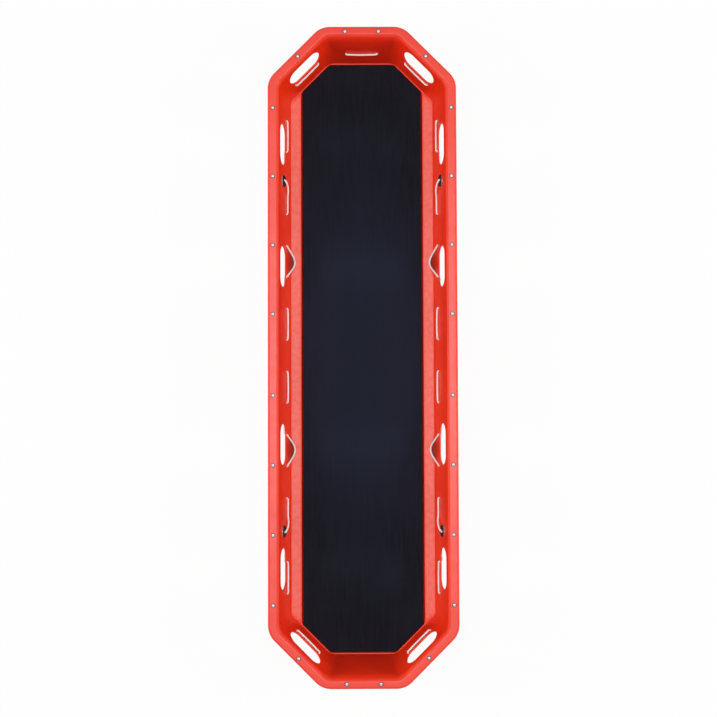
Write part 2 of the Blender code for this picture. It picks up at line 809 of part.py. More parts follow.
def make_mat():
    """Loose foam mat, with a pocket below for each pair of strips, and the strips."""
    bottom = FLOOR_TOP + GAP
    reach = {kind: REACH[kind] - RIM_WIDTH - RUN[kind] - MAT_CLEARANCE for kind in REACH}
    total = reach["corner"] * DIAGONAL
    quarter = [
        (reach["side"], total - reach["side"], 0),
        (total - reach["end"], reach["end"], 0),
    ]
    outline = [(x, y) for x, y, z in all_round(quarter)]
    shape = bmesh.new()
    add_prism(shape, outline, Matrix(), 0, MAT_THICKNESS)
    mat = add_object("mat", shape, FOAM, Matrix.Translation((0, 0, bottom)), smooth=False)
    stack = 2 * (STRIP_THICKNESS + GAP)
    pockets = bmesh.new()
    hole = rectangle(STRIP_WIDTH / 2 + GAP, STRIP_LENGTH / 2 + GAP)
    plate = rectangle(STRIP_WIDTH / 2, STRIP_LENGTH / 2)
    for number, (x, y) in enumerate(strip_places(), 1):
        floor = Matrix.Translation((x, y, bottom))
        add_prism(pockets, hole, floor, -CUT_MARGIN, stack)
        hook = bmesh.new()
        add_prism(hook, plate, Matrix(), 0, STRIP_THICKNESS)
        add_object(f"hook_strip_{number}", hook, STRIP, floor, smooth=False)
        loop = bmesh.new()
        add_prism(loop, plate, Matrix(), 0, STRIP_THICKNESS)
        above = Matrix.Translation((x, y, bottom + STRIP_THICKNESS + GAP))
        add_object(f"loop_strip_{number}", loop, STRIP, above, smooth=False)
    cut(mat, add_cutter("mat_pockets", pockets))


for old in list(bpy.data.objects):
    bpy.data.objects.remove(old)
PLASTIC = material("polyethylene", (0.78, 0.06, 0.02), 0.35)
ALUMINIUM = material("aluminium", (0.80, 0.81, 0.82), 0.35, 1.0)
STEEL = material("plated_steel", (0.75, 0.75, 0.76), 0.25, 1.0)
RUBBER = material("rubber", (0.01, 0.01, 0.01), 0.6)
CORD = material("cord", (0.85, 0.80, 0.76), 0.8)
FOAM = material("foam", (0.012, 0.013, 0.018), 0.75)
STRIP = material("strip", (0.015, 0.015, 0.015), 0.9)
make_shell()
make_frame()
make_rivets()
make_eyes()
make_cord()
make_mat()
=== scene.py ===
"""Basket stretcher seen from above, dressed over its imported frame.

A red moulded basket with a laced grab cord and a dark foam mat, on a white floor under soft lamps.
"""
import math
import random

import bmesh
import bpy
import numpy as np
from mathutils import Matrix, Vector


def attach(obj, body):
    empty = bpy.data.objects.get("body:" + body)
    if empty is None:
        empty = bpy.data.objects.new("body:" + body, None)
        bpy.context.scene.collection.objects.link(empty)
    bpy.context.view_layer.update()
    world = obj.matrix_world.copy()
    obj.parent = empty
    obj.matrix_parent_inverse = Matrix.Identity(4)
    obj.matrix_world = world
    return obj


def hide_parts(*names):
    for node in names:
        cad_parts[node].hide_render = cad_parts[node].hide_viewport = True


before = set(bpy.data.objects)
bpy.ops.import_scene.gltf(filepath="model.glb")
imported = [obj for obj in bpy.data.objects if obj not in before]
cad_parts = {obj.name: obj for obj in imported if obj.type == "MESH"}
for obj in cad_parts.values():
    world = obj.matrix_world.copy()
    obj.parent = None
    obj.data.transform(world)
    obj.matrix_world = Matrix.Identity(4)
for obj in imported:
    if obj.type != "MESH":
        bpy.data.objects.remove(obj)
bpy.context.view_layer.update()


# Camera
# A long lens looks down from three and a half metres above the mat, a little off the middle and
# hardly turned, as the photograph's outline, slots and eyes say together.

view = bpy.data.cameras.new("camera")
view.lens = 50.63
view.sensor_width = 36.0
view.clip_end = 50.0
camera = bpy.data.objects.new("camera", view)
camera.location = (-0.0257, -0.1178, 3.4575)
camera.rotation_euler = (0.0319, -0.0034, -0.0035)
bpy.context.scene.collection.objects.link(camera)
bpy.context.scene.camera = camera
bpy.context.scene.view_settings.view_transform = "Standard"


# Studio
# A white floor and world that the lens, metal and gloss see as plain white, one wide soft box
# overhead for the flats, and a long soft box on each side for the steep walls.

def paint(code):
    """Linear colour from an sRGB hex code."""
    parts = [int(code[place:place + 2], 16) / 255 for place in (1, 3, 5)]
    linear = [part / 12.92 if part <= 0.04045 else ((part + 0.055) / 1.055) ** 2.4 for part in parts]
    return (*linear, 1.0)


def set_sockets(tree, node, sockets):
    """Give each socket a value, a link from an output, or a link from another node's first output."""
    for key, value in sockets.items():
        if isinstance(value, bpy.types.Node):
            value = value.outputs[0]
        if isinstance(value, bpy.types.NodeSocket):
            tree.links.new(value, node.inputs[key])
        else:
            node.inputs[key].default_value = value


def add_node(tree, kind, sockets, **settings):
    """Add a node with its settings, and with its sockets set or linked."""
    made = tree.nodes.new(kind)
    for name, value in settings.items():
        setattr(made, name, value)
    set_sockets(tree, made, sockets)
    return made


def seen_directly(tree):
    """One for rays from the lens, off gloss and through glass, and none for the light on the object."""
    rays = add_node(tree, "ShaderNodeLightPath", {}).outputs
    gloss = add_node(tree, "ShaderNodeMath", {0: rays["Is Camera Ray"], 1: rays["Is Glossy Ray"]},
                     operation="ADD")
    return add_node(tree, "ShaderNodeMath", {0: gloss, 1: rays["Is Transmission Ray"]},
                    operation="ADD", use_clamp=True)


AMBIENT = 0.03
FLOOR_HALF = 9.0
FLOOR_SHADOW = 0.06
CORNERS = ((-1, -1), (1, -1), (1, 1), (-1, 1))

world = bpy.data.worlds.new("studio")
world.use_nodes = True
sky = world.node_tree
sky.nodes.clear()
strength = add_node(sky, "ShaderNodeMapRange", {0: seen_directly(sky), 3: AMBIENT, 4: 1.0})
backdrop = add_node(sky, "ShaderNodeBackground", {"Color": paint("#FFFFFF"), "Strength": strength})
add_node(sky, "ShaderNodeOutputWorld", {"Surface": backdrop})
bpy.context.scene.world = world

paper = bpy.data.materials.new("studio_paper")
paper.use_nodes = True
sheet_tree = paper.node_tree
sheet_tree.nodes.clear()
matt = add_node(sheet_tree, "ShaderNodeBsdfDiffuse", {"Color": paint("#F4F4F4")})
white = add_node(sheet_tree, "ShaderNodeEmission", {"Color": paint("#FFFFFF"), "Strength": 1.0})
share = add_node(sheet_tree, "ShaderNodeMapRange", {0: seen_directly(sheet_tree), 4: 1.0 - FLOOR_SHADOW})
mixed = add_node(sheet_tree, "ShaderNodeMixShader", {0: share, 1: matt, 2: white})
add_node(sheet_tree, "ShaderNodeOutputMaterial", {"Surface": mixed})

floor_mesh = bpy.data.meshes.new("floor")
floor_mesh.from_pydata([(x * FLOOR_HALF, y * FLOOR_HALF, 0.0) for x, y in CORNERS], [], [(0, 1, 2, 3)])
floor_mesh.materials.append(paper)
studio_floor = bpy.data.objects.new("floor", floor_mesh)
bpy.context.scene.collection.objects.link(studio_floor)

# Each soft box: name, place, width and length in metres, and power in watts. Gloss shows the overhead
# box alone, so that the walls carry no streaks of light.
SOFT_BOXES = (
    ("overhead_box", (0.0, 0.0, 9.0), 11.0, 4.4, 462.0),
    ("left_box", (-5.5, 0.0, 2.1), 2.4, 2.5, 235.0),
    ("right_box", (5.5, 0.0, 2.1), 2.4, 2.5, 235.0),
)
for name, place, width, length, power in SOFT_BOXES:
    lamp = bpy.data.lights.new(name, "AREA")
    lamp.shape = "RECTANGLE"
    lamp.size = width
    lamp.size_y = length
    lamp.energy = power
    soft_box = bpy.data.objects.new(name, lamp)
    soft_box.location = place
    soft_box.rotation_euler = (0.0, math.atan2(place[0], place[2]), 0.0)
    soft_box.visible_camera = False
    soft_box.visible_glossy = place[0] == 0.0
    bpy.context.scene.collection.objects.link(soft_box)


# Basket shell
# One vacuum-formed sheet of red polyethylene, 4.5 mm thick, trimmed and punched after forming. Its
# flat rim turns down outside, and its steep walls meet a raised ledge along each side of the mat.

LENGTH = 2.160
WIDTH = 0.620
HEIGHT = 0.180
CORNER_CUT = 0.175
CORNER_RADIUS = 0.072
SHEET = 0.0045
RIM_WIDTH = 0.038
RIM_ROUND = 0.009
SKIRT_DEPTH = 0.030
SIDE_RUN = 0.067
END_RUN = 0.041
CORNER_RUN = 0.035
LEDGE_WIDTH = 0.0393
LEDGE_RISE = 0.025
FLOOR_CORNER_RADIUS = 0.025
RUNNER_HEIGHT = 0.0125
FLOOR_TOP = RUNNER_HEIGHT + SHEET
WALL_TOP = HEIGHT - RIM_ROUND
LEDGE_TOP = FLOOR_TOP + LEDGE_RISE
DIAGONAL = math.sqrt(2)
REACH = {
    "side": WIDTH / 2,
    "end": LENGTH / 2,
    "corner": (WIDTH / 2 + LENGTH / 2 - CORNER_CUT) / DIAGONAL,
}
RUN = {"side": SIDE_RUN, "end": END_RUN, "corner": CORNER_RUN}
QUARTERS = [(1, 1), (-1, 1), (-1, -1), (1, -1)]

SLOT_LENGTH = 0.135
SLOT_HEIGHT = 0.064
SLOT_LEVEL = HEIGHT - 0.054
SLOT_PLACES = (0.294, 0.702)
SLOT_FOOT = SLOT_LEVEL - SLOT_HEIGHT / 2
SLOT_LIP = 0.0015
CORD_RADIUS = 0.003
CORD_HOLE_RADIUS = 0.00425
CORD_PITCH = 0.1055
CORD_LEVEL = HEIGHT - 0.094
HOLE_LIP = 0.0009
SIDE_HOLES = 8
EYE_HOLE = 5
EYE_LEVEL = HEIGHT - 0.060
EYE_PLACE = CORD_PITCH * (EYE_HOLE + 0.5)
EYE_HOLE_RADIUS = 0.0158
RIVET_HOLE_RADIUS = 0.00272
RIVET_ROW = (0.1325, 0.3585, 0.5845, 0.8105)
END_RIVET_PLACE = 0.055
TUBE_INSET = 0.0175
LEDGE_EDGE_LEVEL = 0.0285
LEDGE_EDGE_INSET = RIM_WIDTH + SIDE_RUN - 0.0015
SHELF_LEVEL = 0.0305
SHELF_REACH = 0.0004
LEDGE_SLOPE = (LEDGE_TOP - LEDGE_EDGE_LEVEL) / (LEDGE_EDGE_INSET - RIM_WIDTH - SIDE_RUN + LEDGE_WIDTH)
BULGE_PLACE = CORD_PITCH * 3
BULGE_DEPTH = 0.014
BULGE_HALF_LENGTH = 0.050


def wall_foot(kind):
    """Inset and height of the steep wall's foot. On a long side the ledge starts there."""
    if kind == "side":
        return RIM_WIDTH + SIDE_RUN - LEDGE_WIDTH, LEDGE_TOP
    part = (WALL_TOP - LEDGE_TOP) / (WALL_TOP - FLOOR_TOP)
    return RIM_WIDTH + RUN[kind] * part, LEDGE_TOP


def wall_slope(kind):
    """How far the steep wall runs inwards for each metre that it drops."""
    inset, height = wall_foot(kind)
    return (inset - RIM_WIDTH) / (WALL_TOP - height)


def wall_reach(kind, height):
    """Distance from the middle of the basket to the wall's inner face at a height."""
    return REACH[kind] - RIM_WIDTH - wall_slope(kind) * (WALL_TOP - height)


def bulge(along):
    """How far the wall's foot swells inwards at a distance from the middle of a long side."""
    part = abs(abs(along) - BULGE_PLACE) / BULGE_HALF_LENGTH
    if part >= 1:
        return 0.0
    return BULGE_DEPTH * math.cos(math.pi / 2 * part) ** 2


def corner_radius(inset, height):
    """Radius of the bends between wall and cut corner, sharper towards the floor."""
    if height >= WALL_TOP or inset < RIM_WIDTH:
        return CORNER_RADIUS - inset
    part = (WALL_TOP - height) / (WALL_TOP - FLOOR_TOP)
    return CORNER_RADIUS - RIM_WIDTH + (FLOOR_CORNER_RADIUS - CORNER_RADIUS + RIM_WIDTH) * part


def corner_points(insets, radius, heights, steps):
    """Both bends of the +X +Y corner. Insets and heights are given for side, corner and end."""
    points = []
    diagonal = DIAGONAL * (REACH["corner"] - insets["corner"] - radius)
    for near_side in (True, False):
        first, second = ("side", "corner") if near_side else ("corner", "end")
        for step in range(steps + 1):
            part = step / steps
            angle = math.pi / 4 * (part if near_side else 1 + part)
            if near_side:
                x = REACH["side"] - insets["side"] - radius
                y = diagonal - x
            else:
                y = REACH["end"] - insets["end"] - radius
                x = diagonal - y
            height = heights[first] + (heights[second] - heights[first]) * part
            points.append((x + radius * math.cos(angle), y + radius * math.sin(angle), height))
    return points


def all_round(quarter):
    """Full loop from the points of the +X +Y quarter, which run from the side to the end."""
    half = quarter + [(-x, y, z) for x, y, z in reversed(quarter)]
    return half + [(-x, -y, z) for x, y, z in half]


BEND_STEPS = 12
BULGE_STEPS = 20
STATIONS_BEFORE_BULGE = [0.10, 0.20]
STATIONS_PAST_BULGE = [0.45, 0.55, 0.65, 0.75]
bulge_ways = np.linspace(-1, 1, BULGE_STEPS + 1)
side_stations = STATIONS_BEFORE_BULGE + list(BULGE_PLACE + BULGE_HALF_LENGTH * bulge_ways)
side_stations += STATIONS_PAST_BULGE


def moulding_line(insets, heights, radius, swelling=False):
    """One line of the mould all round the basket, at its inset and height on each wall."""
    side = []
    for along in side_stations:
        swell = bulge(along) if swelling else 0.0
        drop = swell * LEDGE_SLOPE
        side.append((REACH["side"] - insets["side"] - swell, along, heights["side"] - drop))
    return all_round(side + corner_points(insets, radius, heights, BEND_STEPS))


def level_line(insets, height):
    """Moulding line at one height, with the bends that belong to it."""
    return moulding_line(insets, dict.fromkeys(REACH, height), corner_radius(insets["corner"], height))


def wall_line(heights, softer=0.0, swelling=False):
    """Moulding line on the walls' inner faces, with some radius added to its bends."""
    insets = {kind: REACH[kind] - wall_reach(kind, heights[kind]) for kind in REACH}
    radius = corner_radius(insets["corner"], heights["corner"]) + softer
    return moulding_line(insets, heights, radius, swelling)


FLOOR_BORDER = 0.020
# The bend from the rim into the wall is tight on the long sides and broad at the two ends
RIM_TURN = {"side": 0.0272, "corner": 0.0262, "end": 0.0245}
WALL_TURN = {"side": 0.169, "corner": 0.164, "end": 0.148}
# Across the ends and corners the ledge is a narrow shelf between the wall and the mat
FOOT_LEVELS = {"side": LEDGE_TOP, "corner": SHELF_LEVEL, "end": SHELF_LEVEL}
ledge_edge_insets = {kind: RIM_WIDTH + RUN[kind] + SHELF_REACH for kind in REACH}
ledge_edge_insets["side"] = LEDGE_EDGE_INSET
floor_insets = {kind: max(RIM_WIDTH + RUN[kind], inset) for kind, inset in ledge_edge_insets.items()}
# The sheet bends more softly between two walls than at the rim and the floor
SOFTER_BEND = 0.024
moulding_lines = {
    "outer_edge": level_line(dict.fromkeys(REACH, 0.0), HEIGHT),
    "rim_turn": level_line(RIM_TURN, HEIGHT),
    "crease": wall_line(dict.fromkeys(REACH, HEIGHT)),
    "wall_turn": wall_line(WALL_TURN, SOFTER_BEND / 2),
    "slot_foot": wall_line(dict.fromkeys(REACH, SLOT_FOOT), SOFTER_BEND),
    "wall_foot": wall_line(FOOT_LEVELS, SOFTER_BEND, swelling=True),
    "ledge_edge": level_line(ledge_edge_insets, LEDGE_EDGE_LEVEL),
    "floor_edge": level_line(floor_insets, FLOOR_TOP),
    "floor": moulding_line(
        {kind: floor_insets[kind] + FLOOR_BORDER for kind in REACH},
        dict.fromkeys(REACH, FLOOR_TOP),
        FLOOR_CORNER_RADIUS - FLOOR_BORDER,
    ),
}


def on_line(name, lift=0.0):
    """Section point on one moulding line: its share of each line, then its lift."""
    return np.array([float(name == line) for line in moulding_lines] + [lift])


def rounded(before, corner, after, pull, steps):
    """Section points of a bend, which its pull draws towards the corner."""
    near = before + (corner - before) * pull
    far = after + (corner - after) * pull
    points = []
    for part in np.linspace(0, 1, steps + 1):
        rest = 1 - part
        first_half = rest ** 3 * before + 3 * rest ** 2 * part * near
        points.append(first_half + 3 * rest * part ** 2 * far + part ** 3 * after)
    return points


def toward(start, end, part):
    """Section point part of the way from one point to another."""
    return start + (end - start) * part


# How far each bend reaches into the flats beside it, as a share of their width
RIM_BLEND = 0.33
NECK_BLEND = 0.13
NECK_BLEND_ABOVE = NECK_BLEND * 0.7
FOOT_BLEND = 0.17
LEDGE_BLEND = 0.10
STEP_BLEND = 0.35
FLOOR_BLEND = 0.20
# A bend's pull: a quarter circle at the rim's edge, a slack one at its crease, and shallow arcs below
EDGE_PULL = 0.55
CREASE_PULL = 0.44
SHALLOW_PULL = 0.66
STEP_PULL = 0.60

outer_top, rim_turn, crease, wall_turn, slot_foot, foot, ledge_edge, floor_edge, floor = [
    on_line(name) for name in moulding_lines
]
section = [on_line("outer_edge", -SKIRT_DEPTH)]
section += rounded(on_line("outer_edge", -RIM_ROUND), outer_top, toward(outer_top, rim_turn, RIM_BLEND),
                   EDGE_PULL, 8)
section += rounded(rim_turn, crease, wall_turn, CREASE_PULL, 9)
section += rounded(toward(slot_foot, wall_turn, NECK_BLEND_ABOVE), slot_foot,
                   toward(slot_foot, foot, NECK_BLEND), SHALLOW_PULL, 4)
section += rounded(toward(foot, slot_foot, FOOT_BLEND), foot, toward(foot, ledge_edge, FOOT_BLEND),
                   SHALLOW_PULL, 8)
section += rounded(toward(ledge_edge, foot, LEDGE_BLEND), ledge_edge,
                   toward(ledge_edge, floor_edge, STEP_BLEND), STEP_PULL, 5)
section += rounded(toward(floor_edge, ledge_edge, STEP_BLEND), floor_edge,
                   toward(floor_edge, floor, FLOOR_BLEND), STEP_PULL, 6)
section.append(floor)


def add_object(name, mesh):
    """Link a mesh as an object at the origin."""
    made = bpy.data.objects.new(name, mesh)
    bpy.context.scene.collection.objects.link(made)
    return made


def points_object(name, points, attributes):
    """Loose points for a node tree to read, with named values at each of them."""
    mesh = bpy.data.meshes.new(name)
    mesh.from_pydata([tuple(point) for point in points], [], [])
    for key, values in attributes.items():
        flat = np.array(values, np.float32)
        kind = "FLOAT_VECTOR" if flat.ndim == 2 else "FLOAT"
        layer = mesh.attributes.new(key, kind, "POINT")
        layer.data.foreach_set("vector" if flat.ndim == 2 else "value", flat.ravel())
    return add_object(name, mesh)


def new_tree(name, inputs):
    """Empty geometry tree with named inputs, and its input node's outputs by name."""
    tree = bpy.data.node_groups.new(name, "GeometryNodeTree")
    for key, kind in inputs.items():
        tree.interface.new_socket(key, in_out="INPUT", socket_type="NodeSocket" + kind)
    tree.interface.new_socket("Geometry", in_out="OUTPUT", socket_type="NodeSocketGeometry")
    return tree, add_node(tree, "NodeGroupInput", {}).outputs


def end_tree(tree, geometry, finish):
    """Close a tree with Realize Instances and Set Material."""
    real = add_node(tree, "GeometryNodeRealizeInstances", {"Geometry": geometry})
    dressed = add_node(tree, "GeometryNodeSetMaterial", {"Geometry": real, "Material": finish})
    add_node(tree, "NodeGroupOutput", {"Geometry": dressed})


def bake(made):
    """Turn an object's modifiers into its plain mesh."""
    graph = bpy.context.evaluated_depsgraph_get()
    mesh = bpy.data.meshes.new_from_object(made.evaluated_get(graph), depsgraph=graph)
    made.modifiers.clear()
    made.data = mesh


def run_tree(name, tree, values, helpers=()):
    """Run a tree on an empty mesh, keep the result as the object's plain mesh and drop its helpers."""
    made = add_object(name, bpy.data.meshes.new(name))
    modifier = made.modifiers.new(name, "NODES")
    modifier.node_group = tree
    for item in tree.interface.items_tree:
        if item.in_out == "INPUT":
            modifier[item.identifier] = values[item.name]
    bake(made)
    finish = made.data.materials[-1]
    made.data.materials.clear()
    made.data.materials.append(finish)
    for helper in helpers:
        bpy.data.objects.remove(helper)
    return made


def closed_grid(tree, columns, levels):
    """A grid whose last column meets its first, with the column and level of each of its points."""
    across = add_node(tree, "FunctionNodeIntegerMath", {0: columns, 1: 1}, operation="ADD")
    grid = add_node(tree, "GeometryNodeMeshGrid", {"Vertices X": across, "Vertices Y": levels})
    index = add_node(tree, "GeometryNodeInputIndex", {})
    column = add_node(tree, "FunctionNodeIntegerMath", {0: index, 1: levels}, operation="DIVIDE_FLOOR")
    level = add_node(tree, "FunctionNodeIntegerMath", {0: index, 1: levels}, operation="MODULO")
    return grid, column, level


# The sheet is lofted over the moulding lines: each point takes its section's share of every line
loft, given = new_tree("moulded_sheet", {
    "Mould": "Object", "Section": "Object", "Stations": "Int", "Levels": "Int", "Weld": "Float",
    "Plastic": "Material",
})
mould_points = add_node(loft, "GeometryNodeObjectInfo", {"Object": given["Mould"]}).outputs["Geometry"]
section_points = add_node(loft, "GeometryNodeObjectInfo", {"Object": given["Section"]}).outputs["Geometry"]
grid, column, level = closed_grid(loft, given["Stations"], given["Levels"])
station = add_node(loft, "FunctionNodeIntegerMath", {0: column, 1: given["Stations"]}, operation="MODULO")
place = None
for line in list(moulding_lines) + ["lift"]:
    weight = add_node(loft, "GeometryNodeInputNamedAttribute", {"Name": line}, data_type="FLOAT")
    part = add_node(loft, "GeometryNodeSampleIndex", {
        "Geometry": section_points, "Value": weight, "Index": level,
    }, data_type="FLOAT", domain="POINT")
    if line == "lift":
        term = add_node(loft, "ShaderNodeCombineXYZ", {"Z": part})
    else:
        where = add_node(loft, "GeometryNodeInputNamedAttribute", {"Name": line}, data_type="FLOAT_VECTOR")
        point = add_node(loft, "GeometryNodeSampleIndex", {
            "Geometry": mould_points, "Value": where, "Index": station,
        }, data_type="FLOAT_VECTOR", domain="POINT")
        term = add_node(loft, "ShaderNodeVectorMath", {0: point, "Scale": part}, operation="SCALE")
    if place is None:
        place = term
    else:
        place = add_node(loft, "ShaderNodeVectorMath", {0: place, 1: term}, operation="ADD")
moved = add_node(loft, "GeometryNodeSetPosition", {"Geometry": grid, "Position": place})
welded = add_node(loft, "GeometryNodeMergeByDistance", {"Geometry": moved, "Distance": given["Weld"]})
end_tree(loft, welded, given["Plastic"])


def wall_point(kind, quarter, along, height, out=0.0):
    """Point at a height on a wall's inner face, or a level distance out from it."""
    across, forward = quarter
    reach = {name: wall_reach(name, height) + out for name in REACH}
    if kind == "side":
        return Vector((across * reach["side"], forward * along, height))
    if kind == "end":
        return Vector((across * along, forward * reach["end"], height))
    total = reach["corner"] * DIAGONAL
    x = (reach["side"] + total - reach["end"]) / 2 - along / DIAGONAL
    return Vector((across * x, forward * (total - x), height))


def wall_place(kind, quarter, along, height):
    """Matrix whose origin is on the inner face, X along the wall, Y up it and Z out of its face."""
    ways = {"side": (quarter[0], 0), "end": (0, quarter[1]), "corner": quarter}
    out = Vector((*ways[kind], 0)).normalized()
    along_wall = out.cross(Vector((0, 0, 1)))
    up = (out * wall_slope(kind) + Vector((0, 0, 1))).normalized()
    turn = Matrix((along_wall, up, along_wall.cross(up))).transposed().to_4x4()
    return Matrix.Translation(wall_point(kind, quarter, along, height)) @ turn


def rivet_places():
    """Level positions of the 24 rivets along the middle of the frame tube."""
    reach = {kind: REACH[kind] - TUBE_INSET for kind in REACH}
    across = (reach["side"] + reach["corner"] * DIAGONAL - reach["end"]) / 2
    forward = reach["corner"] * DIAGONAL - across
    places = []
    for x_sign, y_sign in QUARTERS:
        places += [(x_sign * reach["side"], y_sign * along) for along in RIVET_ROW]
        places += [(x_sign * across, y_sign * forward), (x_sign * END_RIVET_PLACE, y_sign * reach["end"])]
    return places


def add_skin(shape, low, high):
    """Add a band of faces between two closed rings of corners."""
    for here in range(len(low)):
        after = (here + 1) % len(low)
        shape.faces.new((low[here], low[after], high[after], high[here]))


def add_rings(shape, rings):
    """Add a closed skin over rings of points, with a flat cap on the first and the last."""
    made = [[shape.verts.new(point) for point in ring] for ring in rings]
    shape.faces.new(list(reversed(made[0])))
    shape.faces.new(made[-1])
    for low, high in zip(made, made[1:]):
        add_skin(shape, low, high)


def stadium(straight, radius, steps):
    """Outline of a slot with half-round ends, or of a round hole where there is no straight part."""
    points = []
    for side, start in ((1, -math.pi / 2), (-1, math.pi / 2)):
        for step in range(steps + 1):
            turn = start + math.pi * (step + 0.5) / (steps + 1)
            points.append((side * straight / 2 + radius * math.cos(turn), radius * math.sin(turn)))
    return points


LIP_TURNS = (0.28, 0.5, 0.75, 1.0, 1.3, math.pi / 2)
CUTTER_OVERSHOOT = 0.0007


def add_opening(shape, place, straight, radius, lip, steps):
    """Add a cutter that leaves a rounded lip on both faces of the sheet."""
    flare = []
    for turn in LIP_TURNS:
        flare.append((lip * (1 - math.sin(turn)), -lip * (1 - math.cos(turn))))
    grow, deep = flare[0]
    flare.insert(0, (grow + (CUTTER_OVERSHOOT - deep) / math.tan(LIP_TURNS[0]), CUTTER_OVERSHOOT))
    profile = flare + [(grow, -SHEET - deep) for grow, deep in reversed(flare)]
    rings = []
    for grow, deep in reversed(profile):
        rings.append([place @ Vector((x, y, deep)) for x, y in stadium(straight, radius + grow, steps)])
    add_rings(shape, rings)


def from_shape(name, shape):
    """Object from a bmesh, with its faces pointing outwards."""
    bmesh.ops.recalc_face_normals(shape, faces=shape.faces)
    mesh = bpy.data.meshes.new(name)
    shape.to_mesh(mesh)
    shape.free()
    return add_object(name, mesh)


def add_rivet_holes(shape, level, low, high):
    """Add a round cutter for each rivet, between two heights above a level."""
    for x, y in rivet_places():
        outline = [(x + a, y + b) for a, b in stadium(0.0, RIVET_HOLE_RADIUS, 5)]
        add_rings(shape, [[(a, b, level + z) for a, b in outline] for z in (low, high)])


openings = bmesh.new()
slots = [("corner", quarter, 0.0) for quarter in QUARTERS]
slots += [("side", quarter, along) for quarter in QUARTERS for along in SLOT_PLACES]
for kind, quarter, along in slots:
    place = wall_place(kind, quarter, along, SLOT_LEVEL)
    add_opening(openings, place, SLOT_LENGTH - SLOT_HEIGHT, SLOT_HEIGHT / 2, SLOT_LIP, 15)
cord_holes = [("end", quarter, CORD_PITCH / 2) for quarter in QUARTERS if quarter[1] > 0]
for quarter in QUARTERS:
    cord_holes += [("corner", quarter, CORD_PITCH / 2), ("corner", quarter, -CORD_PITCH / 2)]
    plain_holes = [number for number in range(SIDE_HOLES) if number != EYE_HOLE]
    cord_holes += [("side", quarter, CORD_PITCH * (number + 0.5)) for number in plain_holes]
for kind, quarter, along in cord_holes:
    add_opening(openings, wall_place(kind, quarter, along, CORD_LEVEL), 0.0, CORD_HOLE_RADIUS, HOLE_LIP, 9)
for quarter in QUARTERS:
    place = wall_place("side", quarter, EYE_PLACE, EYE_LEVEL)
    add_opening(openings, place, 0.0, EYE_HOLE_RADIUS, HOLE_LIP, 15)
add_rivet_holes(openings, HEIGHT, -SHEET - 0.002, 0.002)

RUNNER_HALF_WIDTH = 0.018
RUNNER_END_GAP = 0.130
RUNNER_HALF_LENGTH = REACH["end"] - RIM_WIDTH - END_RUN - RUNNER_END_GAP
RUNNER_SIDE_DRAFT = 0.48
RUNNER_END_DRAFT = 1.6
RUNNER_PLACES = (-0.125, 0.0, 0.125)
RUNNER_EDGE = 0.003
RUNNER_FILLET = 0.0035
FILLET_TURN = 1.25


def drafted(half_size, draft, wall, height):
    """Half a runner's size at a height, inside a wall of some thickness."""
    return half_size - wall * math.hypot(1, draft) + draft * height


def runner_rings(centre, low, high, wall):
    """Rings of one runner, from its flat foot up its drafted sides to a flared brim."""
    levels = [(low, -RUNNER_EDGE), (low + 0.0004, -0.0014), (low + 0.0012, -0.0004), (low + RUNNER_EDGE, 0.0)]
    top = high - RUNNER_FILLET
    for turn in np.linspace(0, FILLET_TURN, 7):
        levels.append((top + RUNNER_FILLET * math.sin(turn), RUNNER_FILLET * (1 - math.cos(turn))))
    last_level, last_grow = levels[-1]
    levels.append((last_level + 0.001, last_grow + 0.001 * math.tan(FILLET_TURN)))
    rings = []
    for height, grow in levels:
        width = drafted(RUNNER_HALF_WIDTH, RUNNER_SIDE_DRAFT, wall, height) + grow
        length = drafted(RUNNER_HALF_LENGTH, RUNNER_END_DRAFT, wall, height) + grow
        outline = stadium(2 * (length - width), width, 13)
        rings.append([(centre + y, x, height) for x, y in outline])
    return rings


runner_forms = bmesh.new()
runner_hollows = bmesh.new()
for centre in RUNNER_PLACES:
    add_rings(runner_forms, runner_rings(centre, 0.0, FLOOR_TOP - SHEET, 0.0))
    add_rings(runner_hollows, runner_rings(centre, SHEET, FLOOR_TOP, SHEET))


def new_material(name):
    """Material with its tree, its Principled shader and the object's own coordinates."""
    made = bpy.data.materials.new(name)
    made.use_nodes = True
    tree = made.node_tree
    space = add_node(tree, "ShaderNodeTexCoord", {}).outputs["Object"]
    return made, tree, tree.nodes["Principled BSDF"], space


# Moulded polyethylene is coloured right through. It has a satin skin with a faint orange peel, broad
# gentle waves where the sheet cooled, hairline scuffs, and pale scratches where the runners slide.
red_plastic, tree, shader, space = new_material("moulded_polyethylene")
cloud = add_node(tree, "ShaderNodeTexNoise", {"Vector": space, "Scale": 3.5, "Detail": 3.0})
cloudy = add_node(tree, "ShaderNodeMapRange", {0: cloud, 1: 0.35, 2: 0.65})
body = add_node(tree, "ShaderNodeMix", {0: cloudy, 6: paint("#E92A0B"), 7: paint("#F1330F")},
                data_type="RGBA").outputs[2]
# Scuffs are hairlines about 1 mm apart, drawn out lengthwise as the basket slides
scuffed = add_node(tree, "ShaderNodeMapping", {"Vector": space, "Scale": (900.0, 26.0, 900.0)})
scuff = add_node(tree, "ShaderNodeTexNoise", {
    "Vector": scuffed, "Scale": 1.0, "Detail": 4.0, "Roughness": 0.65,
})
scratches = add_node(tree, "ShaderNodeMapRange", {0: scuff, 1: 0.60, 2: 0.70})
height = add_node(tree, "ShaderNodeSeparateXYZ", {0: space}).outputs[2]
underside = add_node(tree, "ShaderNodeMapRange", {0: height, 1: 0.0022, 2: 0.0004})
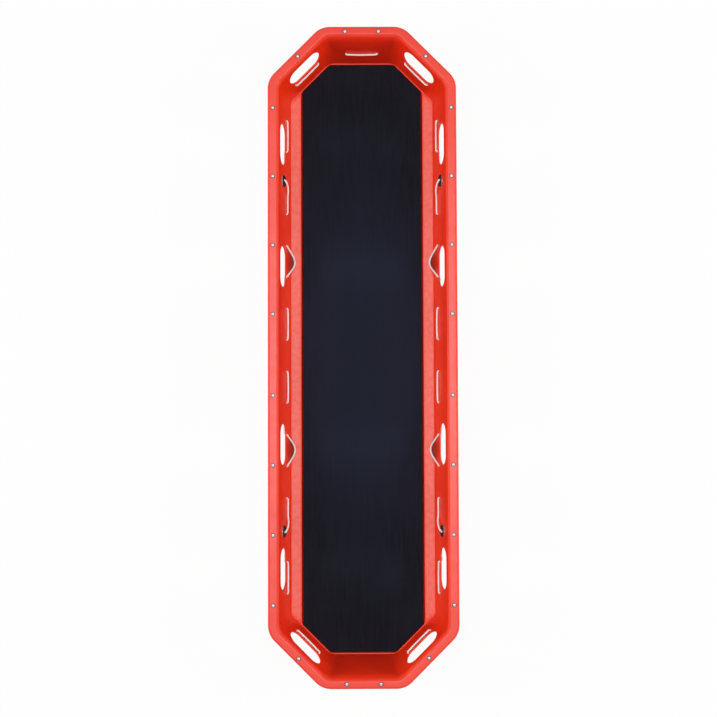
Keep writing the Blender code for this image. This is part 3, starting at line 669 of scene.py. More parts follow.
# The ledges are scuffed pale in patches where kit and knees rest on them, over a painted highlight that makes
# their level tops paler all over
rubbed = add_node(tree, "ShaderNodeTexNoise", {
    "Vector": space, "Scale": 60.0, "Detail": 5.0, "Roughness": 0.6,
})
patchy = add_node(tree, "ShaderNodeMapRange", {0: rubbed, 1: 0.35, 2: 0.65, 3: 0.22, 4: 0.42})
below_wall = add_node(tree, "ShaderNodeMapRange", {0: height, 1: LEDGE_TOP + 0.002, 2: LEDGE_TOP - 0.001})
above_floor = add_node(tree, "ShaderNodeMapRange", {
    0: height, 1: LEDGE_EDGE_LEVEL - 0.001, 2: SHELF_LEVEL + 0.001,
})
facing = add_node(tree, "ShaderNodeNewGeometry", {}).outputs["Normal"]
upward = add_node(tree, "ShaderNodeSeparateXYZ", {0: facing}).outputs[2]
level_face = add_node(tree, "ShaderNodeMapRange", {0: upward, 1: 0.6, 2: 0.85})
level_band = add_node(tree, "ShaderNodeMath", {0: below_wall, 1: above_floor}, operation="MULTIPLY")
on_ledge = add_node(tree, "ShaderNodeMath", {0: level_band, 1: level_face}, operation="MULTIPLY")
# Painted highlight: the ledge's level faces take at least a fifth of the pale tone everywhere, with scuffs on
# top
ledge_wear_and_highlight = add_node(tree, "ShaderNodeMath", {0: on_ledge, 1: patchy}, operation="MULTIPLY")
runner_wear = add_node(tree, "ShaderNodeMath", {0: scratches, 1: underside}, operation="MULTIPLY")
wear_and_highlight = add_node(tree, "ShaderNodeMath", {0: ledge_wear_and_highlight, 1: runner_wear}, operation="MAXIMUM")
skin_colour = add_node(tree, "ShaderNodeMix", {0: wear_and_highlight, 6: body, 7: paint("#FF9C8B")},
                       data_type="RGBA").outputs[2]
# Painted shade: a dark ring round each rivet, where its head meets the rim, and a darker hollow behind each
# slack loop of the cord
folded = add_node(tree, "ShaderNodeVectorMath", {0: space}, operation="ABSOLUTE")
quarter_place = add_node(tree, "ShaderNodeSeparateXYZ", {0: folded}).outputs
rivet_pitch = RIVET_ROW[1] - RIVET_ROW[0]
row_start = RIVET_ROW[0] - rivet_pitch / 2
shifted = add_node(tree, "ShaderNodeMath", {0: quarter_place[1], 1: row_start}, operation="SUBTRACT")
wrapped = add_node(tree, "ShaderNodeMath", {0: shifted, 1: rivet_pitch, 2: 0.0}, operation="WRAP")
side_row = add_node(tree, "ShaderNodeCombineXYZ", {0: quarter_place[0], 1: wrapped, 2: HEIGHT})
side_rivet = (REACH["side"] - TUBE_INSET, rivet_pitch / 2)
corner_rivet, end_rivet = rivet_places()[len(RIVET_ROW):][:2]
nearest = None
for spot, rivet in ((side_row, side_rivet), (folded, corner_rivet), (folded, end_rivet)):
    from_rivet = add_node(tree, "ShaderNodeVectorMath", {0: spot, 1: (*rivet, HEIGHT)}, operation="DISTANCE")
    away = from_rivet.outputs["Value"]
    if nearest is not None:
        away = add_node(tree, "ShaderNodeMath", {0: away, 1: nearest}, operation="MINIMUM")
    nearest = away
rivet_ring_shade = add_node(tree, "ShaderNodeMapRange", {0: nearest, 1: 0.0088, 2: 0.0064, 4: 0.72})
swell_off = add_node(tree, "ShaderNodeMath", {0: quarter_place[1], 1: BULGE_PLACE}, operation="SUBTRACT")
swell_part = add_node(tree, "ShaderNodeMath", {0: swell_off}, operation="ABSOLUTE")
across_hollow = add_node(tree, "ShaderNodeMapRange", {
    0: swell_part, 1: BULGE_HALF_LENGTH * 0.92, 2: 0.018,
}, interpolation_type="SMOOTHSTEP")
down_hollow = add_node(tree, "ShaderNodeMapRange", {
    0: height, 1: SLOT_FOOT + 0.004, 2: LEDGE_TOP + 0.008, 4: 0.78,
}, interpolation_type="SMOOTHSTEP")
above_ledge = add_node(tree, "ShaderNodeMapRange", {0: height, 1: LEDGE_TOP - 0.004, 2: LEDGE_TOP + 0.002})
hollow = add_node(tree, "ShaderNodeMath", {0: across_hollow, 1: down_hollow}, operation="MULTIPLY")
inner_face = add_node(tree, "ShaderNodeMapRange", {0: upward, 1: -0.04, 2: 0.04})
inner_side = add_node(tree, "ShaderNodeMath", {0: above_ledge, 1: inner_face}, operation="MULTIPLY")
loop_hollow_shade = add_node(tree, "ShaderNodeMath", {0: hollow, 1: inner_side}, operation="MULTIPLY")
# Painted shade from the rivet rings and the loop hollows, mixed into the plastic's colour
grime_and_painted_shade = add_node(tree, "ShaderNodeMath", {0: rivet_ring_shade, 1: loop_hollow_shade}, operation="MAXIMUM")
painted_shade_colour = add_node(tree, "ShaderNodeMix", {0: grime_and_painted_shade, 6: skin_colour, 7: paint("#650802")},
                        data_type="RGBA").outputs[2]
satin = add_node(tree, "ShaderNodeTexNoise", {"Vector": space, "Scale": 28.0, "Detail": 5.0})
dull = add_node(tree, "ShaderNodeMapRange", {0: satin, 1: 0.3, 2: 0.7, 3: 0.30, 4: 0.40})
rough = add_node(tree, "ShaderNodeMath", {0: scratches, 1: 0.10, 2: dull}, operation="MULTIPLY_ADD")
waves = add_node(tree, "ShaderNodeTexNoise", {"Vector": space, "Scale": 7.0, "Detail": 1.0})
wavy = add_node(tree, "ShaderNodeBump", {"Strength": 0.35, "Distance": 0.004, "Height": waves})
# Orange peel has dimples about 2.5 mm across
peel = add_node(tree, "ShaderNodeTexNoise", {"Vector": space, "Scale": 400.0, "Detail": 1.0})
peeled = add_node(tree, "ShaderNodeBump", {"Strength": 0.20, "Distance": 0.0002, "Height": peel,
                                           "Normal": wavy})
set_sockets(tree, shader, {
    "Base Color": painted_shade_colour, "Roughness": rough, "Normal": peeled, "IOR": 1.51, "Specular IOR Level": 0.78,
})

mould_object = points_object("mould", moulding_lines["outer_edge"], moulding_lines)
section_values = dict(zip(list(moulding_lines) + ["lift"], np.array(section).T))
section_object = points_object("section", [(0, 0, 0)] * len(section), section_values)
shell = run_tree("shell_skin", loft, {
    "Mould": mould_object, "Section": section_object, "Stations": len(moulding_lines["outer_edge"]),
    "Levels": len(section), "Weld": 0.00001, "Plastic": red_plastic,
}, helpers=(mould_object, section_object))

skin = bmesh.new()
skin.from_mesh(shell.data)
brim = max(vert.co.z for vert in skin.verts if vert.is_boundary)
inner_edges = [edge for edge in skin.edges if edge.is_boundary and edge.verts[0].co.z < brim - 0.05]
bmesh.ops.contextual_create(skin, geom=inner_edges)
bmesh.ops.recalc_face_normals(skin, faces=skin.faces)
if max(skin.faces, key=lambda face: face.calc_area()).normal.z < 0:
    bmesh.ops.reverse_faces(skin, faces=skin.faces)
skin.to_mesh(shell.data)
skin.free()


def boolean(target, tool, operation):
    """Exact Boolean on the target. The helper goes once the target is baked."""
    modifier = target.modifiers.new(tool.name, "BOOLEAN")
    modifier.operation = operation
    modifier.solver = "EXACT"
    modifier.object = tool
    tool.hide_render = True
    return tool


thick = shell.modifiers.new("thickness", "SOLIDIFY")
thick.thickness = SHEET
thick.offset = -1.0
trim = shell.modifiers.new("trimmed_edge", "BEVEL")
trim.limit_method = "ANGLE"
trim.angle_limit = math.radians(60)
trim.width = 0.0013
trim.segments = 3
cutters = [
    boolean(shell, from_shape("runner_forms", runner_forms), "UNION"),
    boolean(shell, from_shape("runner_hollows", runner_hollows), "DIFFERENCE"),
    boolean(shell, from_shape("openings", openings), "DIFFERENCE"),
]
bake(shell)
for cutter in cutters:
    bpy.data.objects.remove(cutter)


def smooth(made, degrees=40):
    """Smooth shading with sharp edges kept, and the broad faces held flat beside their fillets."""
    made.data.shade_smooth()
    made.data.set_sharp_from_angle(angle=math.radians(degrees))
    modifier = made.modifiers.new("weighted_normals", "WEIGHTED_NORMAL")
    modifier.keep_sharp = True
    bake(made)


smooth(shell)
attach(shell, "basket")
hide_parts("shell")


# Frame tubes
# Drawn aluminium tube, 25 mm by 2 mm, in two straight sides and two bent bows. They meet over
# spigots and hang under the rim on the rivets, half hidden by the turned-down skirt.

TUBE_RADIUS = 0.0125
TUBE_WALL = 0.002
TUBE_LEVEL = HEIGHT - SHEET - 0.0003 - TUBE_RADIUS
JOINT_PLACE = 0.850
JOINT_GAP = 0.001
TUBE_SIDES = 32

# Mill finish: fine draw lines along the tube under a dull oxide bloom
mill_aluminium, tree, shader, space = new_material("mill_finish_aluminium")
around_tube = add_node(tree, "ShaderNodeUVMap", {}, uv_map="UVMap")
# Draw lines are about 0.5 mm apart round the tube and run for centimetres along it
drawn = add_node(tree, "ShaderNodeMapping", {"Vector": around_tube, "Scale": (9.0, 150.0, 1.0)})
lines = add_node(tree, "ShaderNodeTexNoise", {"Vector": drawn, "Scale": 1.0, "Detail": 3.0})
bloom = add_node(tree, "ShaderNodeTexNoise", {"Vector": space, "Scale": 18.0, "Detail": 4.0})
tone = add_node(tree, "ShaderNodeMix", {0: bloom, 6: paint("#C6C8CA"), 7: paint("#E3E4E5")},
                data_type="RGBA").outputs[2]
dull = add_node(tree, "ShaderNodeMapRange", {0: lines, 1: 0.3, 2: 0.7, 3: 0.28, 4: 0.44})
relief = add_node(tree, "ShaderNodeBump", {"Strength": 0.25, "Distance": 0.0001, "Height": lines})
set_sockets(tree, shader, {"Base Color": tone, "Roughness": dull, "Normal": relief, "Metallic": 1.0})

# A round skin swept along a path. The UV map holds metres along it and the share of the way round.
sweep, given = new_tree("swept_skin", {
    "Path": "Object", "Radius": "Float", "Sides": "Int", "Weld": "Float", "Finish": "Material",
})
path_mesh = add_node(sweep, "GeometryNodeObjectInfo", {"Object": given["Path"]}).outputs["Geometry"]
path = add_node(sweep, "GeometryNodeMeshToCurve", {"Mesh": path_mesh})
points_round = add_node(sweep, "FunctionNodeIntegerMath", {0: given["Sides"], 1: 1}, operation="ADD")
hoop = add_node(sweep, "GeometryNodeCurveArc", {
    "Resolution": points_round, "Radius": given["Radius"], "Sweep Angle": math.tau,
}, mode="RADIUS")
hoop_share = add_node(sweep, "GeometryNodeSplineParameter", {}).outputs["Factor"]
marked_hoop = add_node(sweep, "GeometryNodeStoreNamedAttribute", {
    "Geometry": hoop.outputs["Curve"], "Name": "around", "Value": hoop_share,
}, data_type="FLOAT", domain="POINT")
thickness = add_node(sweep, "GeometryNodeInputNamedAttribute", {"Name": "thickness"}, data_type="FLOAT")
tube_skin = add_node(sweep, "GeometryNodeCurveToMesh", {
    "Curve": path, "Profile Curve": marked_hoop, "Scale": thickness,
})
along_it = add_node(sweep, "GeometryNodeInputNamedAttribute", {"Name": "along"}, data_type="FLOAT")
around_it = add_node(sweep, "GeometryNodeInputNamedAttribute", {"Name": "around"}, data_type="FLOAT")
both = add_node(sweep, "ShaderNodeCombineXYZ", {0: along_it, 1: around_it})
mapped = add_node(sweep, "GeometryNodeStoreNamedAttribute", {
    "Geometry": tube_skin, "Name": "UVMap", "Value": both,
}, data_type="FLOAT2", domain="CORNER")
welded = add_node(sweep, "GeometryNodeMergeByDistance", {"Geometry": mapped, "Distance": given["Weld"]})
end_tree(sweep, welded, given["Finish"])


def face_outwards(made, close_ends=False):
    """Point a piece's faces outwards, after its open ends are closed where asked."""
    shape = bmesh.new()
    shape.from_mesh(made.data)
    if close_ends:
        bmesh.ops.holes_fill(shape, edges=[edge for edge in shape.edges if edge.is_boundary])
    bmesh.ops.recalc_face_normals(shape, faces=shape.faces)
    shape.to_mesh(made.data)
    shape.free()


def swept(name, path, radius, sides, finish, thickness=None):
    """Run the sweep along a path of points. A path with tips gets closed ends."""
    steps = [math.dist(here, after) for here, after in zip(path, path[1:])]
    route = points_object(name + "_path", path, {
        "along": np.concatenate([[0.0], np.cumsum(steps)]),
        "thickness": thickness or [1.0] * len(path),
    })
    route.data.edges.add(len(steps))
    route.data.edges.foreach_set("vertices", [end for here in range(len(steps)) for end in (here, here + 1)])
    made = run_tree(name, sweep, {
        "Path": route, "Radius": radius, "Sides": sides, "Weld": 0.000002, "Finish": finish,
    }, helpers=(route,))
    face_outwards(made, close_ends=thickness is not None)
    return made


tube_reach = REACH["side"] - TUBE_INSET
tube_bends = corner_points({kind: TUBE_INSET for kind in REACH}, CORNER_RADIUS - TUBE_INSET,
                           {kind: TUBE_LEVEL for kind in REACH}, 14)
bow = [(tube_reach, JOINT_PLACE + JOINT_GAP, TUBE_LEVEL)] + tube_bends
bow += [(-x, y, z) for x, y, z in reversed(bow)]
tube_paths = {
    "frame_side_right": [(tube_reach, y, TUBE_LEVEL) for y in (-JOINT_PLACE, JOINT_PLACE)],
    "frame_side_left": [(-tube_reach, y, TUBE_LEVEL) for y in (-JOINT_PLACE, JOINT_PLACE)],
    "frame_bow_head": bow,
    "frame_bow_foot": [(x, -y, z) for x, y, z in bow],
}
tube_holes = bmesh.new()
add_rivet_holes(tube_holes, TUBE_LEVEL, 0.0, 0.03)
tube_hole_cutter = from_shape("tube_holes", tube_holes)
for node, path in tube_paths.items():
    tube = swept(node + "_tube", path, TUBE_RADIUS, TUBE_SIDES, mill_aluminium)
    wall = tube.modifiers.new("tube_wall", "SOLIDIFY")
    wall.thickness = TUBE_WALL
    wall.offset = -1.0
    boolean(tube, tube_hole_cutter, "DIFFERENCE")
    bake(tube)
    smooth(tube)
    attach(tube, "basket")
    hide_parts(node)
bpy.data.objects.remove(tube_hole_cutter)

# The spigots show only as a thread of metal in the four tube joints, so their solids stay
spigot_aluminium, tree, shader, space = new_material("sawn_aluminium")
sawn = add_node(tree, "ShaderNodeTexNoise", {"Vector": space, "Scale": 300.0, "Detail": 3.0})
tone = add_node(tree, "ShaderNodeMix", {0: sawn, 6: paint("#B9BBBD"), 7: paint("#D8DADB")},
                data_type="RGBA").outputs[2]
dull = add_node(tree, "ShaderNodeMapRange", {0: sawn, 3: 0.35, 4: 0.55})
set_sockets(tree, shader, {"Base Color": tone, "Roughness": dull, "Metallic": 1.0})
for number in range(1, 5):
    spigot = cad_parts[f"frame_spigot_{number}"]
    spigot.data.materials.clear()
    spigot.data.materials.append(spigot_aluminium)


# Rim rivets
# Blind rivets of plated steel, 4.8 mm, with low domed heads. Each is pulled up through the rim and
# the top of the tube, where its bulb spreads, and the broken mandrel stays in the middle of the head.

HEAD_RADIUS = 0.006
HEAD_HEIGHT = 0.0026
HEAD_SEAT = 0.0003
HEAD_EDGE = HEAD_SEAT + 0.0005
DOME_ROUNDNESS = 0.92
SHANK_RADIUS = 0.0024
MANDREL_RADIUS = 0.0013
BULB_RADIUS = 0.004
BULB_LENGTH = 0.0035
BULB_TOP = TUBE_LEVEL + math.sqrt((TUBE_RADIUS - TUBE_WALL) ** 2 - BULB_RADIUS ** 2) - 0.0003 - HEIGHT

# Zinc plating: bright, slightly blue, with a fine tumbled grain and dull patches
zinc_steel, tree, shader, space = new_material("zinc_plated_steel")
patches = add_node(tree, "ShaderNodeTexNoise", {"Vector": space, "Scale": 160.0, "Detail": 3.0})
tone = add_node(tree, "ShaderNodeMix", {0: patches, 6: paint("#A2A3A7"), 7: paint("#BDBEC2")},
                data_type="RGBA").outputs[2]
# Painted shade darkens the head's low edge, where it meets the rim, and the crown keeps the plating's own
# tone
height = add_node(tree, "ShaderNodeSeparateXYZ", {0: space}).outputs[2]
edge = add_node(tree, "ShaderNodeMapRange", {0: height, 1: HEIGHT + 0.0021, 2: HEIGHT + 0.0010})
edge_shaded_tone = add_node(tree, "ShaderNodeMix", {0: edge, 6: tone, 7: paint("#3A2A28")}, data_type="RGBA").outputs[2]
dull = add_node(tree, "ShaderNodeMapRange", {0: patches, 1: 0.3, 2: 0.7, 3: 0.28, 4: 0.44})
# Tumbling leaves dents about 0.4 mm across
tumbled = add_node(tree, "ShaderNodeTexNoise", {"Vector": space, "Scale": 2500.0, "Detail": 1.0})
relief = add_node(tree, "ShaderNodeBump", {"Strength": 0.15, "Distance": 0.00005, "Height": tumbled})
set_sockets(tree, shader, {"Base Color": edge_shaded_tone, "Roughness": dull, "Normal": relief, "Metallic": 1.0})

# A section of radius and height points is turned round Z and set at each place
turning, given = new_tree("turned_pieces", {
    "Section": "Object", "Places": "Object", "Sides": "Int", "Levels": "Int", "Weld": "Float",
    "Finish": "Material",
})
section_points = add_node(turning, "GeometryNodeObjectInfo", {"Object": given["Section"]}).outputs["Geometry"]
places = add_node(turning, "GeometryNodeObjectInfo", {"Object": given["Places"]}).outputs["Geometry"]
grid, column, level = closed_grid(turning, given["Sides"], given["Levels"])
own_place = add_node(turning, "GeometryNodeInputPosition", {})
point = add_node(turning, "GeometryNodeSampleIndex", {
    "Geometry": section_points, "Value": own_place, "Index": level,
}, data_type="FLOAT_VECTOR", domain="POINT")
turn_share = add_node(turning, "ShaderNodeMath", {0: column, 1: given["Sides"]}, operation="DIVIDE")
turn = add_node(turning, "ShaderNodeMath", {0: turn_share, 1: math.tau}, operation="MULTIPLY")
turned = add_node(turning, "ShaderNodeVectorRotate", {"Vector": point, "Angle": turn}, rotation_type="Z_AXIS")
moved = add_node(turning, "GeometryNodeSetPosition", {"Geometry": grid, "Position": turned})
welded = add_node(turning, "GeometryNodeMergeByDistance", {"Geometry": moved, "Distance": given["Weld"]})
facing = add_node(turning, "GeometryNodeInputNamedAttribute", {"Name": "turn"}, data_type="FLOAT_VECTOR")
rotation = add_node(turning, "FunctionNodeEulerToRotation", {0: facing})
copies = add_node(turning, "GeometryNodeInstanceOnPoints", {
    "Points": places, "Instance": welded, "Rotation": rotation,
})
end_tree(turning, copies, given["Finish"])


def turned_pieces(name, profile, matrices, sides, finish):
    """Turn a section of (radius, height) points at each place."""
    outline = points_object(name + "_section", [(radius, 0.0, height) for radius, height in profile], {})
    seats = points_object(name + "_places", [matrix.translation for matrix in matrices], {
        "turn": [tuple(matrix.to_euler()) for matrix in matrices],
    })
    made = run_tree(name, turning, {
        "Section": outline, "Places": seats, "Sides": sides, "Levels": len(profile),
        "Weld": 0.000005, "Finish": finish,
    }, helpers=(outline, seats))
    face_outwards(made)
    smooth(made)
    return made


def arc(radius, height, size, start, stop, steps):
    """Section points of an arc about (radius, height), its angles in degrees."""
    turns = [math.radians(start + (stop - start) * step / steps) for step in range(steps + 1)]
    return [(radius + size * math.cos(turn), height + size * math.sin(turn)) for turn in turns]


head_dome = []
dome_foot = math.sqrt(1 - DOME_ROUNDNESS)
for part in np.linspace(0, 1, 9):
    radius = HEAD_RADIUS + (MANDREL_RADIUS + 0.0002 - HEAD_RADIUS) * part
    rise = math.sqrt(1 - (radius / HEAD_RADIUS) ** 2 * DOME_ROUNDNESS) - dome_foot
    head_dome.append((radius, HEAD_EDGE + (HEAD_HEIGHT - HEAD_EDGE) * rise / (1 - dome_foot)))
crown = head_dome[-1][1]
rivet_profile = [
    (0.0, BULB_TOP - BULB_LENGTH),
    (SHANK_RADIUS, BULB_TOP - BULB_LENGTH),
    (BULB_RADIUS - 0.0008, BULB_TOP - 0.0027),
    (BULB_RADIUS, BULB_TOP - 0.0017),
    (BULB_RADIUS, BULB_TOP - 0.0006),
    (BULB_RADIUS - 0.0006, BULB_TOP),
    (SHANK_RADIUS, BULB_TOP),
    (SHANK_RADIUS, HEAD_SEAT),
    (HEAD_RADIUS - 0.0002, HEAD_SEAT),
    (HEAD_RADIUS, HEAD_SEAT + 0.0002),
] + head_dome + [
    (MANDREL_RADIUS, crown - 0.0001),
    (MANDREL_RADIUS - 0.0001, crown - 0.0006),
    (MANDREL_RADIUS - 0.0003, crown - 0.0007),
    (0.0006, crown - 0.0004),
    (0.0, crown - 0.00035),
]
rivet_seats = [Matrix.Translation((x, y, HEIGHT)) for x, y in rivet_places()]
rivets = turned_pieces("rim_rivets", rivet_profile, rivet_seats, 28, zinc_steel)
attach(rivets, "basket")
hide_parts(*[f"rim_rivet_{number:02d}" for number in range(1, 25)])


# Lifting eyes
# Pressed stainless eyelets, 28 mm through the long walls and rolled over on both faces, each lined
# with a black rubber grommet that keeps the cord and a sling off the metal.

EYE_BORE = 0.014
EYE_WALL = 0.0015
EYE_FLANGE = 0.0215
EYE_SEAT = 0.0003
EYE_BACK = -SHEET - EYE_SEAT
eye_outside = EYE_BORE + EYE_WALL
eye_roll = EYE_WALL / 2
eyelet_profile = arc(eye_outside, EYE_SEAT, EYE_WALL, 180, 90, 6)
eyelet_profile += arc(EYE_FLANGE - eye_roll, EYE_SEAT + eye_roll, eye_roll, 90, -90, 8)
eyelet_profile += [(eye_outside, EYE_SEAT), (eye_outside, EYE_BACK)]
eyelet_profile += arc(EYE_FLANGE - eye_roll, EYE_BACK - eye_roll, eye_roll, 90, -90, 8)
eyelet_profile += arc(eye_outside, EYE_BACK, EYE_WALL, 270, 180, 6)
eyelet_profile.append(eyelet_profile[0])

GROMMET_BORE = 0.011
GROMMET_FLANGE = 0.0185
GROMMET_SEAT = EYE_WALL + 0.0006
GROMMET_TOP = GROMMET_SEAT + 0.003
GROMMET_BACK = EYE_BACK - EYE_WALL - 0.0003
GROMMET_LIP = 0.0016
GROMMET_EDGE = 0.0009
GROMMET_BEAD = 0.0005
grommet_neck = EYE_BORE - 0.0003
grommet_profile = arc(GROMMET_BORE + GROMMET_LIP, GROMMET_TOP - GROMMET_LIP, GROMMET_LIP, 180, 80, 7)
grommet_profile += arc(GROMMET_FLANGE - GROMMET_EDGE, GROMMET_SEAT + GROMMET_EDGE, GROMMET_EDGE, 75, -90, 8)
grommet_profile += [(grommet_neck, GROMMET_SEAT), (grommet_neck, GROMMET_BACK)]
grommet_profile += arc(EYE_BORE + GROMMET_EDGE, GROMMET_BACK - GROMMET_BEAD, GROMMET_BEAD, 90, -90, 6)
grommet_profile += arc(GROMMET_BORE + GROMMET_EDGE, GROMMET_BACK - 0.0001, GROMMET_EDGE, 270, 180, 5)
grommet_profile.append(grommet_profile[0])

# Stainless sheet, drawn and lightly brushed round the flange by the press
stainless, tree, shader, space = new_material("pressed_stainless")
brushed = add_node(tree, "ShaderNodeMapping", {"Vector": space, "Scale": (260.0, 260.0, 1400.0)})
grain = add_node(tree, "ShaderNodeTexNoise", {"Vector": brushed, "Scale": 1.0, "Detail": 3.0})
tone = add_node(tree, "ShaderNodeMix", {0: grain, 6: paint("#BFBDB9"), 7: paint("#E6E4E0")},
                data_type="RGBA").outputs[2]
dull = add_node(tree, "ShaderNodeMapRange", {0: grain, 1: 0.3, 2: 0.7, 3: 0.16, 4: 0.30})
relief = add_node(tree, "ShaderNodeBump", {"Strength": 0.2, "Distance": 0.00006, "Height": grain})
set_sockets(tree, shader, {"Base Color": tone, "Roughness": dull, "Normal": relief, "Metallic": 1.0})

# Moulded rubber: matt black with a fine grain and a little dust
black_rubber, tree, shader, space = new_material("moulded_rubber")
dust = add_node(tree, "ShaderNodeTexNoise", {"Vector": space, "Scale": 220.0, "Detail": 5.0})
dust_and_light_share = add_node(tree, "ShaderNodeMapRange", {0: dust, 1: 0.45, 2: 0.75})
tone = add_node(tree, "ShaderNodeMix", {0: dust_and_light_share, 6: paint("#0B0A0B"), 7: paint("#1A1817")},
                data_type="RGBA").outputs[2]
# The mould's grain is about 0.5 mm across
mould_grain = add_node(tree, "ShaderNodeTexVoronoi", {"Vector": space, "Scale": 2000.0})
relief = add_node(tree, "ShaderNodeBump", {"Strength": 0.3, "Distance": 0.00008, "Height": mould_grain})
set_sockets(tree, shader, {"Base Color": tone, "Normal": relief, "Roughness": 0.62, "IOR": 1.52})

eye_seats = [wall_place("side", quarter, EYE_PLACE, EYE_LEVEL) for quarter in QUARTERS]
eyelets = turned_pieces("lifting_eyelets", eyelet_profile, eye_seats, 48, stainless)
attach(eyelets, "basket")
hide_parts(*[f"eyelet_{number}" for number in range(1, 5)])
grommets = turned_pieces("eye_grommets", grommet_profile, eye_seats, 48, black_rubber)
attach(grommets, "basket")
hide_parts(*[f"grommet_{number}" for number in range(1, 5)])


# Lacing cord
# One braided polyester cord, 6 mm thick, laced in and out of the walls right round the basket. It is
# pulled snug between its holes and hangs slack over each hand bulge, where a fist fits behind it.

CORD_GAP = 0.0004
CORD_TURN = 0.0055
SLACK_DROP = 0.042
SLACK_GAP = 0.0008
SLACK_CROWN = 0.55
SLACK_SPAN = 0.92
CORD_SIDES = 12
INSIDE_LANE = CORD_RADIUS + CORD_GAP
OUTSIDE_LANE = -SHEET - CORD_RADIUS - CORD_GAP
SLEEVE_LENGTH = 0.030
SLEEVE_WALL = 0.0012
SLEEVE_GAP = 0.0008
chance = random.Random(7)


def on_wall(kind, quarter, along, deep, lift=0.0):
    """Point off a wall's inner face at the cord's level, on its outer side where deep is negative."""
    place = wall_place(kind, quarter, along, CORD_LEVEL + lift)
    return place.translation + place.col[2].to_3d() * deep


def crossing(kind, along, travel, going_out):
    """The cord's bend through a hole of the +X +Y quarter, a quarter turn on each face of the sheet."""
    half = (INSIDE_LANE - OUTSIDE_LANE) / 2
    shape = []
    for turn in np.linspace(0, math.pi / 2, 5):
        shape.append((CORD_TURN * (1 - math.sin(turn)), INSIDE_LANE - half * (1 - math.cos(turn))))
    shape += [(-aside, INSIDE_LANE + OUTSIDE_LANE - deep) for aside, deep in reversed(shape[:-1])]
    if not going_out:
        shape.reverse()
    sign = -travel if going_out else travel
    return [on_wall(kind, (1, 1), along + sign * aside, deep) for aside, deep in shape]


def eye_crossing(along, going_out):
    """The cord's points through a lifting eye, up over its grommet on one face and down on the other."""
    rise = EYE_LEVEL - CORD_LEVEL
    over_flange = GROMMET_TOP + CORD_RADIUS + 0.0006
    over_back = GROMMET_BACK - 0.001 - CORD_RADIUS - 0.0006
    # Each point: way along the wall from the eye, lift over the cord's level, distance off the inner face
    points = [
        (-0.0473, 0.0, INSIDE_LANE),
        (-0.0270, rise * 0.35, over_flange),
        (-0.0060, rise * 0.90, over_flange + 0.0004),
        (0.0035, rise + 0.0026, 0.9 * CORD_RADIUS),
        (0.0050, rise + 0.0030, -SHEET - 0.5 * CORD_RADIUS),
        (0.0100, rise * 0.92, over_back),
        (0.02795, rise * 0.4, over_back),
        (0.0473, 0.0, OUTSIDE_LANE),
    ]
    sign = 1
    if not going_out:
        points.reverse()
        sign = -1
    return [on_wall("side", (1, 1), along + sign * shift, deep, lift) for shift, lift, deep in points]


def slack_loop(start, stop):
    """Slack stretch between two holes, in straight runs down to a round bend over the hand bulge."""
    middle = (start.y + stop.y) / 2
    height = CORD_LEVEL - SLACK_DROP
    neck = wall_reach("side", SLOT_FOOT)
    swell = bulge(middle)
    foot_reach = REACH["side"] - wall_foot("side")[0] - swell
    foot_height = LEDGE_TOP - swell * LEDGE_SLOPE
    reach = neck + (foot_reach - neck) * (SLOT_FOOT - height) / (SLOT_FOOT - foot_height)
    low = Vector((reach - (INSIDE_LANE + SLACK_GAP) * math.hypot(1, wall_slope("side")), middle, height))
    top = math.hypot(1, SLACK_CROWN)
    points = []
    for part in np.linspace(-SLACK_SPAN, SLACK_SPAN, 17):
        share = (top - math.hypot(part, SLACK_CROWN)) / (top - SLACK_CROWN)
        base = start.lerp(stop, (part + 1) / 2)
        points.append(base + (low - start.lerp(stop, 0.5)) * share)
    return points


def snug(start, stop, off_wall):
    """Points between two holes: the cord stands a little off the wall and sags a little."""
    sag = chance.uniform(0.0004, 0.0016)
    bow = chance.uniform(0.0003, 0.0011)
    points = []
    for part in (0.12, 0.3, 0.5, 0.7, 0.88):
        share = math.sin(math.pi * part)
        points.append(start.lerp(stop, part) + off_wall * bow * share - Vector((0, 0, sag * share)))
    return points


def side_stretch():
    """The cord along the +X side, in and out of its holes, from the foot corner to the head corner."""
    points = []
    for number in range(-SIDE_HOLES, SIDE_HOLES):
        along = CORD_PITCH * (number + 0.5)
        going_out = (number + SIDE_HOLES) % 2 == 1
        at_eye = number in (EYE_HOLE, -EYE_HOLE - 1)
        turn = eye_crossing(along, going_out) if at_eye else crossing("side", along, 1, going_out)
        if points:
            if abs(number) == 3 and going_out:
                points += slack_loop(points[-1], turn[0])
            elif not at_eye and number - 1 not in (EYE_HOLE, -EYE_HOLE - 1):
                points += snug(points[-1], turn[0], Vector((-1 if going_out else 1, 0, 0)))
        points += turn
    return points


corner_insets = {}
for kind in REACH:
    lane_out = OUTSIDE_LANE * math.hypot(1, wall_slope(kind))
    corner_insets[kind] = REACH[kind] - wall_reach(kind, CORD_LEVEL) + lane_out
corner_bend = corner_radius(REACH["corner"] - wall_reach("corner", CORD_LEVEL), CORD_LEVEL) - OUTSIDE_LANE
corner_heights = {kind: CORD_LEVEL + OUTSIDE_LANE * wall_slope(kind) for kind in REACH}
round_bends = [Vector(point) for point in corner_points(corner_insets, corner_bend, corner_heights, 7)]
first_bend, second_bend = round_bends[:8], round_bends[8:]
going_in = crossing("corner", -CORD_PITCH / 2, 1, False)
coming_out = crossing("corner", CORD_PITCH / 2, 1, True)
inside_corner = snug(going_in[-1], coming_out[0], Vector((-0.7, -0.7, 0)))
corner_stretch = first_bend + going_in + inside_corner + coming_out + second_bend
foot_corner = [Vector((x, -y, z)) for x, y, z in reversed(corner_stretch)]
head_hole = crossing("end", CORD_PITCH / 2, -1, False)
sleeve_out = (SHEET + CORD_RADIUS + CORD_GAP) * math.hypot(1, wall_slope("end")) + SLEEVE_WALL + SLEEVE_GAP


